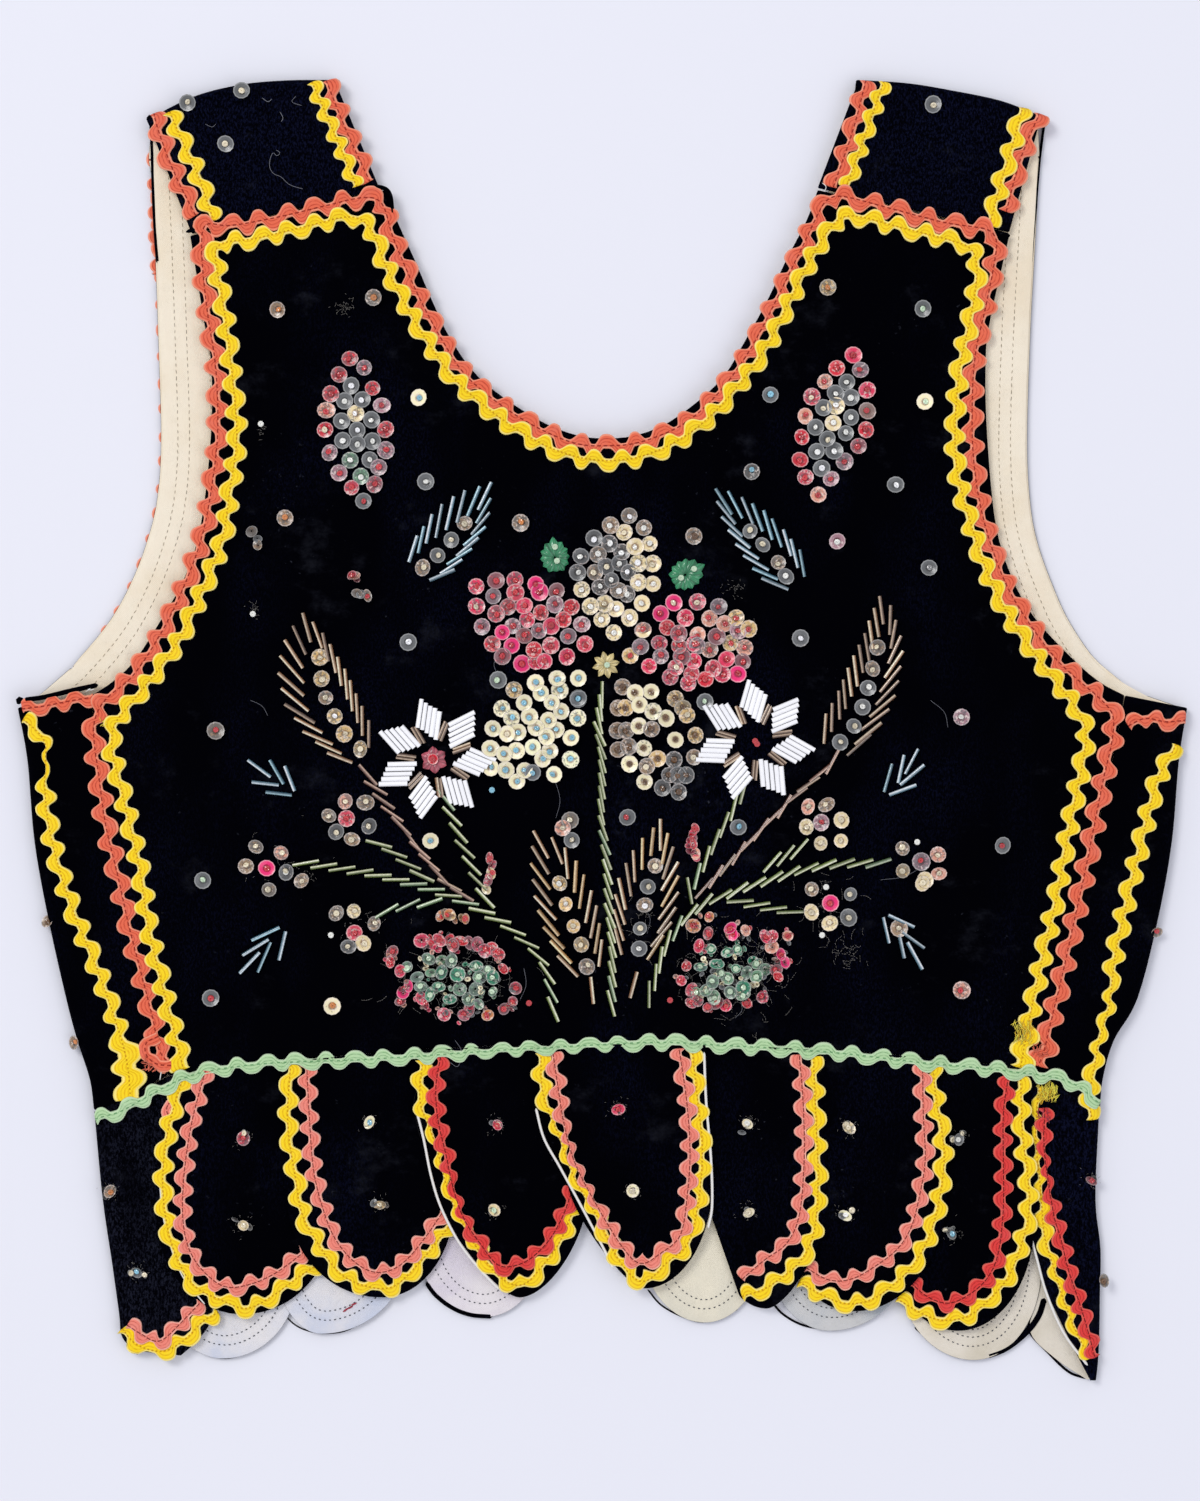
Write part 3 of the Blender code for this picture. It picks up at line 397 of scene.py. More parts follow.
# more of the blue haze, partly a dusty film and partly painted sheen of the nap: on the straps and tab 9, and most on
# tab 1
dustAndSheenVelvet = velvetFinish("velvet_dusty", 0.58, 0.2)
heavyDustAndSheenVelvet = velvetFinish("velvet_worn", 0.85, 0.15, tone(26, 28, 40))
linings = {name: liningFinish(name, **look) for name, look in liningLook.items()}
braidFinishes = {name: braidFinish(name, **look) for name, look in braidLook.items()}
cupSheen = cupFinish()
beadGlass = glassFinish("bead_glass", 0.16, 0.5)
tubeGlass = glassFinish("tube_bead_glass", 0.22, 0.6)
chalkGlass = glassFinish("chalk_bead_glass", 0.34, 0.1)
thread = threadFinish()
print("finishes ready")


# how high the cloth lies, and where it folds
cloth = dict(velvet=1.8, tab=1.6, underTab=2.0, facing=1.0, gap=0.3, settle=0.015, top=5.0)

sideFolds = dict(
    y=[-137, -126, -112, -97, -68, -40, -11, 8],
    left=[-183.5, -185, -189.5, -193.5, -200, -205, -207.5, -211],
    right=[179.5, 180.5, 184.5, 193, 200.5, 205.5, 208, 211],
)
shoulderFolds = dict(
    x=[-164.5, -148, -131, -114.5, -95.5, 91.5, 110, 127, 144, 158.5],
    y=[220, 228.4, 232.8, 234.4, 234.6, 234.6, 233.4, 230.6, 227, 221.4],
)
# middle x, y, half length, half width, turn from upright in degrees, height
softFolds = [(-143, -20, 55, 9, 6, 1.2), (-124, -70, 42, 8, -14, 0.9), (120, -78, 40, 9, 26, 1.0),
    (150, 0, 46, 8, -8, 0.9), (-104, 120, 44, 11, 12, 0.8), (102, 118, 48, 11, -10, 0.8), (0, -30, 80, 42, 0, 1.0),
    (-30, -95, 22, 12, -30, -0.4), (58, -92, 24, 12, 24, -0.4), (-128, 62, 26, 3.4, 24, -0.35),
    (-118, 60, 22, 3.0, 20, 0.35), (-96, -92, 16, 3.0, -24, 0.4), (112, 24, 30, 3.6, -14, -0.35),
    (86, 150, 20, 3.2, -30, 0.35), (-84, 158, 16, 3.2, 34, 0.35), (146, -62, 26, 3.0, 10, 0.4),
    (-160, -96, 22, 3.2, 4, 0.35), (-196, -60, 34, 2.6, -9, 0.45), (192, -84, 30, 2.6, 12, 0.45),
    (22, -104, 12, 3.0, 8, 0.35), (-62, -100, 14, 3.0, -14, 0.3)]


def relief(x, y):  # sum of the soft folds, each a rounded ridge or trough
    total = np.zeros(np.broadcast(x, y).shape)
    for foldX, foldY, halfLength, halfWidth, turn, height in softFolds:
        c, s = math.cos(math.radians(turn)), math.sin(math.radians(turn))
        along = ((y - foldY) * c - (x - foldX) * s) / halfLength
        across = ((x - foldX) * c + (y - foldY) * s) / halfWidth
        total = total + height * np.exp(-(along**2 + across**2))
    return total


def rolled(inner, top, thickness):  # top of folded cloth: flat, then a quarter circle down to its fold
    low = thickness / 2 + cloth["settle"]
    radius, middle = (top - low) / 2 + thickness / 2, (top + low) / 2
    return middle + np.sqrt(radius**2 - np.clip(radius - inner, 0, radius) ** 2)


def bodyTop(x, y):  # top of the back, the underarm pieces and the straps
    left = x - np.interp(y, sideFolds["y"], sideFolds["left"])
    right = np.interp(y, sideFolds["y"], sideFolds["right"]) - x
    above = np.interp(x, shoulderFolds["x"], shoulderFolds["y"]) - y
    inner = np.minimum(np.minimum(left, right), above)
    return rolled(inner, cloth["top"], cloth["velvet"]) + relief(x, y) * ease(inner / 14)


def waistY(x):  # the waist seam: an arc, highest a little right of the middle
    return -112.7 - 11.0 * ((x - 8.0) / 160.0) ** 2


def waistLine(left, right, count):
    xs = np.linspace(left, right, count)
    return np.column_stack([xs, waistY(xs)])


backSides = dict(
    y=[-124, -101, -68, -40, -14, 12.5],
    left=[-156.5, -163, -171, -177.5, -182, -184],
    right=[154.5, 161.5, 170, 177, 183, 188],
)
backArmholes = dict(
    y=[12.5, 17, 25, 40.5, 56, 75, 107, 132, 147, 178],
    left=[-184, -177, -168.5, -158.5, -150, -144.5, -141, -141, -143.5, -148.5],
    right=[188, 179.5, 170, 155.5, 147, 141.5, 138.5, 138, 139.5, 146.5],
)
neck = dict(
    y=[194.5, 183.5, 169, 155, 140.5, 126, 112.5, 106.5],
    left=[-78, -74, -67.5, -61.5, -54.5, -43.5, -24.5, -10.5],
    right=[77.5, 73.5, 66, 59.5, 51.5, 42.5, 26.5, 13.5],
    bottom=(1.0, 105.0),
)
straps = dict(
    left=dict(
        seam=[(-80, 194), (-97, 190.5), (-114, 186.5), (-131, 182.5), (-148, 178.5)],
        fold=[(-95.5, 234.6), (-114.5, 234.4), (-131, 232.8), (-148, 228.4), (-164.5, 220)],
        under=[(-93.5, 220.5), (-164.0, 206.0)]),
    right=dict(
        seam=[(77.5, 195), (95, 191), (112, 187), (129, 183), (146.5, 179)],
        fold=[(91.5, 234.6), (110, 233.4), (127, 230.6), (144, 227), (158.5, 221.4)],
        under=[(90.0, 220.5), (158.0, 207.0)]))
underSeams = dict(left=[(-192.0, 22.5), (-163.5, -130.5)], right=[(192.0, 14.0), (163.5, -130.5)])


def edgeOf(table, side):
    return curved(np.column_stack([table[side], table["y"]]), 6)


def sideEdge(side):
    edge = edgeOf(backSides, side)
    edge[0, 1] = waistY(edge[0, 0])
    return edge


neckEdge = curved([*zip(neck["left"], neck["y"]), neck["bottom"], *zip(neck["right"][::-1], neck["y"][::-1])], 6)


def sheetPiece(name, places, thickness, finishes, node=None, roundEdge=0.5):
    # a grid of places in the middle of the cloth, with its finishes on top, below and at the rim; its
    # thickness, and soft edges, come from modifiers
    columns, rows = places.shape[:2]
    cells = np.cross(np.diff(places[:, :-1], axis=0), np.diff(places[:-1], axis=1))
    faceUp = cells[:max(1, columns // 4), :, 2].sum() > 0
    quads = gridQuads(columns, rows)[:, ::-1 if faceUp else 1]
    piece = makePiece(name, places.reshape(-1, 3), [quads], finishes, outward=False)
    solid = piece.modifiers.new("thickness", "SOLIDIFY")
    solid.thickness, solid.offset, solid.use_even_offset = thickness * mm, 0.0, True
    solid.material_offset, solid.material_offset_rim = 1, 2
    soft = piece.modifiers.new("soft edge", "BEVEL")
    soft.width, soft.segments, soft.limit_method = roundEdge * mm, 2, "ANGLE"
    soft.angle_limit = math.radians(50)
    kind, rest = name.split("_", 1)
    keep(piece, node or rest, slot=kind)


def liftedTo(places, topHeight, thickness):  # a flat grid raised so that its cloth's upper face is at topHeight
    return raisedTo(places, topHeight(places[..., 0], places[..., 1]) - thickness / 2)


def makeBack():
    shoulderCells, neckCells, sideCells, armholeCells = 24, 60, 30, 50
    strapSeams = {side: np.array([edgeOf(backArmholes, side)[-1], neckEdge[0 if side == "left" else -1]])
                  for side in signs}
    top = np.vstack([
        evenly(strapSeams["left"], shoulderCells + 1)[:-1], evenly(neckEdge, neckCells + 1),
        evenly(strapSeams["right"][::-1], shoulderCells + 1)[1:],
    ])
    left, right = (np.vstack([evenly(sideEdge(side), sideCells + 1)[:-1],
                              evenly(edgeOf(backArmholes, side), armholeCells + 1)]) for side in signs)
    shares = (top[:, 0] - top[0, 0]) / (top[-1, 0] - top[0, 0])
    hemX = left[0, 0] + (right[0, 0] - left[0, 0]) * shares
    places = patchOf(np.column_stack([hemX, waistY(hemX)]), top, left, right, shares)
    sheetPiece("velvet_back", liftedTo(places, bodyTop, cloth["velvet"]), cloth["velvet"],
               [velvet, linings["cream"], velvet])


def foldedPlaces(topEdge, fold, underEdge, top, thickness, raised, stations, cells):
    # lies on top from its edge to the fold, turns a half circle round the fold, and returns below
    tops, folds, unders = (evenly(edge, stations) for edge in (topEdge, fold, underEdge))
    outward = leftOf(folds)
    if outward[0] @ (folds[0] - tops[0]) < 0:
        outward = -outward
    low = thickness / 2 + cloth["settle"]
    radius = (top - low) / 2
    centre = folds - outward * (radius + thickness / 2)
    share, turn, back = (np.linspace(0, end, count + 1)[:, None, None] for end, count in zip((1, math.pi, 1), cells))
    upper = tops * (1 - share) + centre * share
    upperZ = top + raised(upper[..., 0], upper[..., 1]) * ease(3.0 * (1 - share[..., 0]))
    turned = centre + outward * radius * np.sin(turn[1:])
    turnedZ = low + radius * (1 + np.cos(turn[1:, :, 0]))
    below = centre * (1 - back[1:]) + unders * back[1:]
    return np.concatenate([raisedTo(upper, upperZ), raisedTo(turned, turnedZ), raisedTo(below, low)])


def makeUnderarmPiece(side):
    seam = shifted(sideEdge(side), signs[side] * cloth["gap"])
    places = foldedPlaces(seam, edgeOf(sideFolds, side), underSeams[side][::-1], cloth["top"], cloth["velvet"],
                          relief, stations=60, cells=(14, 10, 5))
    sheetPiece("velvet_side_" + side, places, cloth["velvet"], [velvet, linings["cream"], velvet])


def makeStrap(side):
    table = straps[side]
    seam = curved(np.array(table["seam"], float) + (0, cloth["gap"]), 4)
    places = foldedPlaces(seam, curved(table["fold"], 4), table["under"], cloth["top"], cloth["velvet"], relief,
                          stations=40, cells=(16, 10, 5))
    sheetPiece("velvet_strap_" + side, places, cloth["velvet"], [dustAndSheenVelvet, linings["cream"], velvet])


makeBack()
for side in signs:
    makeUnderarmPiece(side)
    makeStrap(side)
print("back, underarm pieces and straps ready")


frontArmholes = dict(
    y=[18, 25, 39.5, 54, 68.5, 83, 104.5, 140.5, 169, 205],
    left=[-198, -190, -178, -170, -164.5, -161, -159.5, -160.5, -161.5, -163],
    right=[188, 178.5, 168.5, 162, 157, 154.5, 153.5, 154.5, 156, 158],
)
front = dict(opening=1.5, neckInset=4.0, hemReach=158.0)
facing = dict(width=25.0, inset=0.9, top=215.0, tips=dict(left=(-206.5, 11.0), right=(205.5, 8.5)),
              lowEnd=(172.0, 7.0), seams=(5.4, 9.6, 17.5), wave=0.12)


def makeFront(side):
    # flat on the surface: outer edge up the underarm seam and armhole, inner edge up the opening and neck
    sign = signs[side]
    underarm = shifted(np.array(underSeams[side]), sign * cloth["gap"])[::-1]
    armhole = edgeOf(frontArmholes, side)[4:]
    strapSeam = shifted(np.array(straps[side]["under"]), sign * cloth["gap"])
    neckLine = shifted(neckEdge, front["neckInset"])[::-sign]
    half = neckLine[sign * neckLine[:, 0] > 2 * front["opening"]]
    opening = sign * front["opening"]
    middle = np.array([[opening, waistY(0.0)], [opening, neck["bottom"][1] - front["neckInset"]]])
    outer = np.vstack([underarm, armhole[2:-1], strapSeam[1:]])
    inner = np.vstack([middle, half[::-1], strapSeam[:1]])
    hem = evenly(np.vstack([outer[:1], waistLine(sign * front["hemReach"], opening, 8)[1:-1], inner[:1]]), 41)
    places = patchOf(hem, evenly(strapSeam[::-1], 41), evenly(outer, 81), evenly(inner, 81))
    sheetPiece("velvet_front_" + side, raisedTo(places, cloth["velvet"] / 2), cloth["velvet"],
               [linings["cream"], velvet, velvet])


def facingEdge(side):
    topEnd = (frontArmholes[side][-1], facing["top"])
    line = curved([facing["tips"][side], *zip(frontArmholes[side], frontArmholes["y"]), topEnd], 5)
    return evenly(shifted(line, -signs[side] * facing["inset"]), 121)


def facingTop(x, y):  # the lining strip, a little cockled between its rows of stitches
    return cloth["velvet"] + cloth["gap"] + cloth["facing"] + facing["wave"] * np.sin(x * 0.9 + y * 0.21)


def makeFacing(side):
    # a strip from the armhole edge to its width further in, narrowing to nothing at the underarm
    sign = signs[side]
    outer = facingEdge(side)
    low = np.array([[outer[0, 0] - sign * 1.2, outer[0, 1] - 0.8], [sign * facing["lowEnd"][0], facing["lowEnd"][1]]])
    inner = np.column_stack([outer[:, 0] - sign * facing["width"], outer[:, 1]])[outer[:, 1] > facing["width"]]
    share = np.linspace(0, 1, 13)[:, None, None]
    places = outer * (1 - share) + evenly(np.vstack([low, inner]), len(outer)) * share
    sheetPiece("lining_armhole_" + side, liftedTo(places, facingTop, cloth["facing"]), cloth["facing"],
               [linings["cream"]] * 3, node="facing_" + side, roundEdge=0.2)


for side in signs:
    makeFront(side)
    makeFacing(side)
print("fronts and armhole linings ready")


tabRise = dict(low=3.3, lowAtWaist=3.9, rise=2.15, climb=(0.32, 0.66), folded=3.6, corner=42.0)
tabs = dict(  # corners at the waist, both sides where they start to round, the tip, and the side that overlaps
    tab_2=dict(waist=(-153, -98), sides=(-160.5, -97), low=-175, tip=(-129, -210.5), over="left"),
    tab_3=dict(waist=(-115.5, -56.5), sides=(-113.5, -53), low=-168, tip=(-79, -204.5), over="left"),
    tab_4=dict(waist=(-67, -6.5), sides=(-60.5, -5), low=-165, tip=(-30, -204.5), over="left", leaner=(0.55, 0.2)),
    tab_5=dict(waist=(-24.5, 37), sides=(-12.5, 39.5), low=-163, tip=(15, -201), over="both", leaner=(0.55, 0)),
    tab_6=dict(
        waist=(30, 77.5), sides=(38.5, 81), low=-172, tip=(59, -208.5), over="right", leaner=(0, 0.4),
        turnedUnder=dict(top=-171, y=[-206, -177.4, -172], x=[50, 40, 38])),
    tab_7=dict(waist=(67, 120.5), sides=(62, 124), low=-166, tip=(90, -209.5), over="right"),
    tab_8=dict(waist=(109, 154), sides=(101, 155.5), low=-177, tip=(127.5, -216.5), over="right"))
underTabs = dict(
    under_tab_1=dict(waist=(-156.5, -115.5), sides=(-160, -110), low=-197, tip=(-137, -227), lining="cool"),
    under_tab_2=dict(waist=(-114.5, -71), sides=(-119, -70), low=-187, tip=(-101.5, -218), lining="cool", over=0.35),
    under_tab_3=dict(waist=(-69.5, -10), sides=(-67.5, -20.5), low=-183, tip=(-42.5, -212), lining="pink"),
    under_tab_4=dict(waist=(6, 58), sides=(13.5, 59), low=-183, tip=(37, -214), lining="warm"),
    under_tab_5=dict(waist=(59, 105), sides=(59.5, 112), low=-187, tip=(82, -217), lining="grey"),
    under_tab_6=dict(waist=(106, 157), sides=(106.5, 158.5), low=-194, tip=(134, -227.5), lining="ecru", over=0.35))
foldedTabs = dict(  # y of each row, then the fold, the open edge on top and the open edge below
    tab_1=dict(
        y=[-137.7, -169, -193, -211, -219, -225.5], fold=[-183.5, -180.5, -177, -174.5, -173.5, -168],
        top=[-145, -143, -142, -141, -145, -152], under=[-164, -163.5, -163, -163, -163.5, -160.5]),
    tab_9=dict(
        y=[-137.7, -169, -187, -203, -217, -227, -234.6], fold=[179.3, 178, 179.8, 179.6, 179.4, 179.0, 178.2],
        top=[154.6, 153.8, 155.4, 160.5, 167, 172, 176], under=[160.5, 160, 159.5, 157.8, 154.4, 163.6, 175]),
    seam=[(145, -123.3), (156.5, -124.9), (184, -138.0)])


def arcOf(tab, side, start, end, count):  # part of the ellipse that rounds a tab's side into its tip
    middle = tab["sides"][0 if side == "left" else 1]
    angle = np.radians(np.linspace(start, end, count))
    reachX, reachY = middle - tab["tip"][0], tab["tip"][1] - tab["low"]
    leaner = tab.get("leaner", (0, 0))[0 if side == "left" else 1]  # 0 is the ellipse, 1 the straight line
    c, s = ((1 - leaner) * wave + leaner * wave**2 for wave in (np.cos(angle), np.sin(angle)))
    return np.column_stack([tab["tip"][0] + reachX * c, tab["low"] + reachY * s])


def tabEdges(tab):
    waist = waistLine(*tab["waist"], 31) - (0, cloth["gap"])
    left = np.vstack([waist[:1], arcOf(tab, "left", 0, tabRise["corner"], 12)])
    right = np.vstack([waist[-1:], arcOf(tab, "right", 0, tabRise["corner"], 12)])
    tip = np.vstack([arcOf(tab, "left", tabRise["corner"], 90, 14),
                     arcOf(tab, "right", tabRise["corner"], 90, 14)[-2::-1]])
    if "turnedUnder" in tab:
        for line in (left, tip):
            kept = np.interp(line[:, 1], tab["turnedUnder"]["y"], tab["turnedUnder"]["x"])
            line[:, 0] = np.where(line[:, 1] > tab["turnedUnder"]["top"], line[:, 0], np.maximum(line[:, 0], kept))
    return waist, left, right, tip


def tabTop(name):
    # low where a neighbour lies on the tab, easing up to where it lies on a neighbour
    tab = tabs[name]

    def height(x, y):
        ends = [tab["low"], float(waistY(np.mean(tab["waist"])))]
        leftX = np.interp(y, ends, [tab["sides"][0], tab["waist"][0]])
        rightX = np.interp(y, ends, [tab["sides"][1], tab["waist"][1]])
        u = np.clip((x - leftX) / (rightX - leftX), 0, 1)
        v = (y - tab["tip"][1]) / (ends[1] - tab["tip"][1])
        base = tabRise["low"] + (tabRise["lowAtWaist"] - tabRise["low"]) * ease(2.5 * v - 1.5)
        if tab["over"] == "both":
            rise = tabRise["rise"] + 0.25 * np.cos(4 * math.pi * u)
        else:
            start, end = tabRise["climb"]
            rise = tabRise["rise"] * ease(((1 - u if tab["over"] == "left" else u) - start) / (end - start))
        return base + rise + cloth["tab"] / 2 + 0.12 * np.sin(0.11 * x + 0.16 * y) * ease(2 - 2 * v)

    return height


def foldedTabTop(name):
    ys, folds = (foldedTabs[name][key][::-1] for key in ("y", "fold"))
    return lambda x, y: rolled(np.abs(x - np.interp(y, ys, folds)), tabRise["folded"], cloth["tab"])


def tabPatch(tab, cellsAcross, cellsDown):
    waist, left, right, tip = tabEdges(tab)
    return patchOf(evenly(tip, cellsAcross + 1), evenly(waist, cellsAcross + 1),
                   evenly(left[::-1], cellsDown + 1), evenly(right[::-1], cellsDown + 1))


def makeTab(name):
    places = tabPatch(tabs[name], 36, 40)
    sheetPiece("velvet_" + name, liftedTo(places, tabTop(name), cloth["tab"]), cloth["tab"],
               [velvet, linings["white"], velvet])


def makeFoldedTab(name, sign, pile):
    tab = foldedTabs[name]
    lines = {key: np.column_stack([tab[key], tab["y"]]).astype(float) for key in ("fold", "top", "under")}
    lines["top"][0, 1] = waistY(lines["top"][0, 0]) - 2.0
    lines["under"][0, 1] = underSeams["left"][1][1] - 2.0
    cells = (12, 10, 5)
    places = foldedPlaces(curved(lines["top"], 6), curved(lines["fold"], 6), curved(lines["under"], 6),
                          tabRise["folded"], cloth["tab"], lambda x, y: 0 * x, stations=55, cells=cells)
    # its upper edge follows the waist seam, which bends at the underarm seam
    share = np.clip(1 - np.linspace(0, 1, places.shape[1]) * 4, 0, 1) ** 2
    upper = np.arange(places.shape[0]) <= cells[0]
    bend = np.interp(sign * places[:, 0, 0], *zip(*foldedTabs["seam"])) - places[:, 0, 1]
    places[..., 1] += (bend * upper)[:, None] * share
    sheetPiece("velvet_" + name, places, cloth["tab"], [pile, linings["ecru"], velvet])


def makeUnderTab(name):  # lining side up, with its velvet showing as a thin dark rim
    tab = underTabs[name]
    z = cloth["underTab"] / 2 + tab.get("over", 0)
    sheetPiece("lining_" + name, raisedTo(tabPatch(tab, 30, 34), z), cloth["underTab"],
               [linings[tab["lining"]], velvet, velvet], roundEdge=0.35)


for name in tabs:
    makeTab(name)
makeFoldedTab("tab_1", -1, heavyDustAndSheenVelvet)
makeFoldedTab("tab_9", 1, dustAndSheenVelvet)
for name in underTabs:
    makeUnderTab(name)
print("tabs ready")


braidSizes = dict(  # spacing of the waves, half the swing, width of the band, thickness
    frameYellow=dict(pitch=9.6, swing=1.6, band=5.1, thick=0.85),
    frameCoral=dict(pitch=10.2, swing=1.8, band=5.4, thick=0.85),
    neckYellow=dict(pitch=7.8, swing=1.35, band=4.4, thick=0.8),
    strapCoral=dict(pitch=10.2, swing=1.75, band=5.4, thick=0.85),
    tabYellow=dict(pitch=10.2, swing=1.55, band=5.0, thick=0.85),
    tabInner=dict(pitch=8.4, swing=1.45, band=4.5, thick=0.8),
    waistGreen=dict(pitch=10.6, swing=1.25, band=4.4, thick=0.8),
    sideCoral=dict(pitch=9.0, swing=1.3, band=4.8, thick=0.85),
    frontCoral=dict(pitch=9.6, swing=1.6, band=5.4, thick=0.85),
    curl=dict(pitch=9.0, swing=0.5, band=4.4, thick=0.85), tabEnd=dict(pitch=9.0, swing=0.5, band=3.8, thick=0.85))
bandSection = dict(across=[-1, -0.95, -0.8, -0.3, 0.3, 0.8, 0.95, 1], below=[0.6, -0.6], stations=18, square=0.22,
                   flatter=0.1)
laid = {}  # centre line and half width of each braid that is already on the cloth


def braidPlaces(route, size, narrow):
    # the band swings as a sine with rounded tops along its route; its edges lie mostly straight across
    # from the middle and partly square to the swinging line, and it is a little fuller where it turns
    along = walked(route)
    total = along[-1]
    turn = math.pi * max(2, round(2 * total / size["pitch"])) / total
    s = np.linspace(0, total, int(total / size["pitch"] * bandSection["stations"]))
    share = np.ones_like(s)
    for start, end, left in narrow:
        share -= (1 - left) * ease((s - start + 3) / 6) * ease((end + 3 - s) / 6)
    phase = s * turn + 0.35 * np.sin(s * 0.37 + total)
    swing = size["swing"] * (0.3 + 0.7 * np.minimum(share, 1.1)) * (1 + 0.08 * np.sin(s * 0.61))
    flatter, square = bandSection["flatter"], bandSection["square"]
    w = swing * (np.sin(phase) + flatter * np.sin(3 * phase)) / (1 - flatter)
    m = np.gradient(w, s)
    lean = np.sqrt(1 + m * m)[:, None]
    half = size["band"] / 2 * share * (0.92 + 0.08 * np.sin(phase) ** 2)
    a = np.array(bandSection["across"] + bandSection["below"])[None] * half[:, None]
    sideways = w[:, None] + a * (1 - square + square / lean)
    onward = np.clip(s[:, None] - square * a * m[:, None] / lean, 0, total)
    left = leftOf(route)
    x, y, nx, ny = (np.interp(onward, along, line) for line in (*route.T, *left.T))
    places = np.stack([x + nx * sideways, y + ny * sideways], axis=-1)
    spot = np.column_stack([np.interp(s, along, route[:, k]) + w * np.interp(s, along, left[:, k]) for k in (0, 1)])
    return places, spot, walked(spot)[:, None], a, onward, sideways


def makeBraid(name, route, size, colour, top, node=None, over=(), narrow=(), lift=0.0):
    # the band lies on top(x, y), crowned across its width, and rises over the braids named in over
    route = evenly(route, int(walked(np.asarray(route, float))[-1] / 0.8) + 2)
    places, middle, arc, a, onward, sideways = braidPlaces(route, size, narrow)
    across = np.array(bandSection["across"])
    crown = np.concatenate([np.sqrt(1 - across**8) * size["thick"], [0.0] * len(bandSection["below"])])
    z = top(places[..., 0], places[..., 1]) + 0.04 + crown + lift
    flat = places.reshape(-1, 2)
    for other in over:
        line, half, thick = laid[other]
        z = z + (thick * 0.92 * ease((half + 1.1 - distanceTo(flat, line)) / 1.5)).reshape(z.shape)
    stations, ring = z.shape
    caps = np.stack([np.arange(ring), np.arange(ring) + (stations - 1) * ring])
    piece = makePiece(name, raisedTo(places, z).reshape(-1, 3), [gridQuads(stations, ring, ring=True), caps],
                      braidFinishes[colour])
    share = np.abs(bandSection["across"] + bandSection["below"])
    addLayer(piece, "band", np.stack(np.broadcast_arrays(arc, a, share), axis=-1))
    addLayer(piece, "sewn", np.stack(np.broadcast_arrays(onward, sideways, crown > 0.3 * size["thick"]), axis=-1))
    laid[name] = (middle, size["band"] / 2, size["thick"])
    return keep(piece, *([node] if node else []), slot=colour)


# middle lines of the braids that frame the back, as pixels of the view
coralFrame = [(172, 1064), (164, 1058), (158, 1046), (154, 1022), (142, 975), (129, 925), (118, 875), (106, 825),
    (99, 775), (94, 737), (96, 716), (108, 697), (134, 675), (166, 625), (189, 575), (204, 530), (213, 480),
    (218, 430), (216, 368), (208, 315), (203, 270), (202, 240), (206, 224), (230, 226), (280, 217), (330, 205),
    (362, 198), (382, 203), (394, 240), (420, 299), (445, 345), (470, 380), (520, 418), (570, 442), (604, 446),
    (645, 441), (695, 416), (745, 358), (795, 262), (818, 214), (828, 199), (845, 197), (895, 210), (945, 223),
    (984, 229), (996, 238), (995, 258), (986, 305), (975, 355), (972, 405), (973, 455), (980, 505), (994, 555),
    (1014, 600), (1048, 650), (1072, 675), (1100, 699), (1113, 716), (1111, 745), (1104, 775), (1094, 825),
    (1084, 875), (1073, 925), (1062, 975), (1051, 1020), (1044, 1050), (1038, 1066)]
yellowFrame = [(184, 1070), (174, 1030), (160, 975), (148, 925), (141, 875), (130, 825), (118, 775), (112, 748),
    (115, 724), (134, 700), (173, 650), (198, 600), (222, 540), (230, 490), (237, 440), (234, 390), (225, 315),
    (217, 268), (216, 248), (228, 242), (255, 239), (305, 227), (352, 217), (372, 231), (385, 264), (410, 313),
    (435, 353), (460, 385), (510, 425), (560, 452), (610, 461), (660, 450), (710, 417), (760, 357), (785, 310),
    (810, 260), (832, 226), (852, 216), (905, 229), (955, 242), (972, 250), (977, 272), (971, 315), (960, 365),
    (955, 425), (957, 470), (968, 515), (988, 575), (1014, 625), (1050, 675), (1071, 701), (1085, 727), (1085, 748),
    (1076, 795), (1066, 845), (1057, 895), (1044, 950), (1032, 1005), (1020, 1068)]
# braids on the straps and underarm pieces: outer or inner edge, from the top fold down
edgeBraids = dict(
    strap_left_arm_coral=[(153, 112), (160, 135), (169, 160), (180, 185), (196, 216)],
    strap_left_arm_yellow=[(170, 112), (184, 145), (196, 170), (205, 195), (214, 221)],
    strap_left_neck_coral=[(326, 80), (346, 130), (370, 182)],
    strap_left_neck_yellow=[(312, 82), (333, 130), (357, 187)],
    strap_right_neck_coral=[(866, 80), (853, 130), (833, 188)],
    strap_right_neck_yellow=[(884, 81), (867, 130), (846, 188)],
    strap_right_arm_coral=[(1040, 112), (1020, 160), (1006, 212)],
    strap_right_arm_yellow=[(1023, 106), (1011, 150), (1003, 175), (989, 226)],
    side_left_coral=[(22, 709), (45, 706), (70, 701), (94, 697)],
    side_right_coral=[(1128, 726), (1145, 718), (1165, 722), (1187, 720)],
    side_left_yellow=[(23, 719), (36, 730), (46, 745), (45, 785), (49, 825), (60, 870), (75, 915), (96, 965),
        (114, 1015), (127, 1060), (131, 1100)],
    side_right_yellow=[(1176, 744), (1168, 760), (1157, 780), (1144, 830), (1126, 905), (1115, 955), (1109, 1005),
        (1100, 1035), (1095, 1062), (1089, 1098), (1092, 1120)])
waistBraid = [(95, 1119), (108, 1115), (120, 1112), (145, 1098), (195, 1074), (270, 1063), (370, 1059), (470, 1052),
    (570, 1046), (660, 1042), (720, 1045), (820, 1051), (920, 1062), (1020, 1072), (1070, 1082), (1100, 1104)]


def routeOf(pixels, rounds=14):  # a smooth middle line through pixels of the view
    line = curved(spots(pixels), 10)
    return softened(evenly(line, int(walked(line)[-1] / 1.0) + 2), rounds)


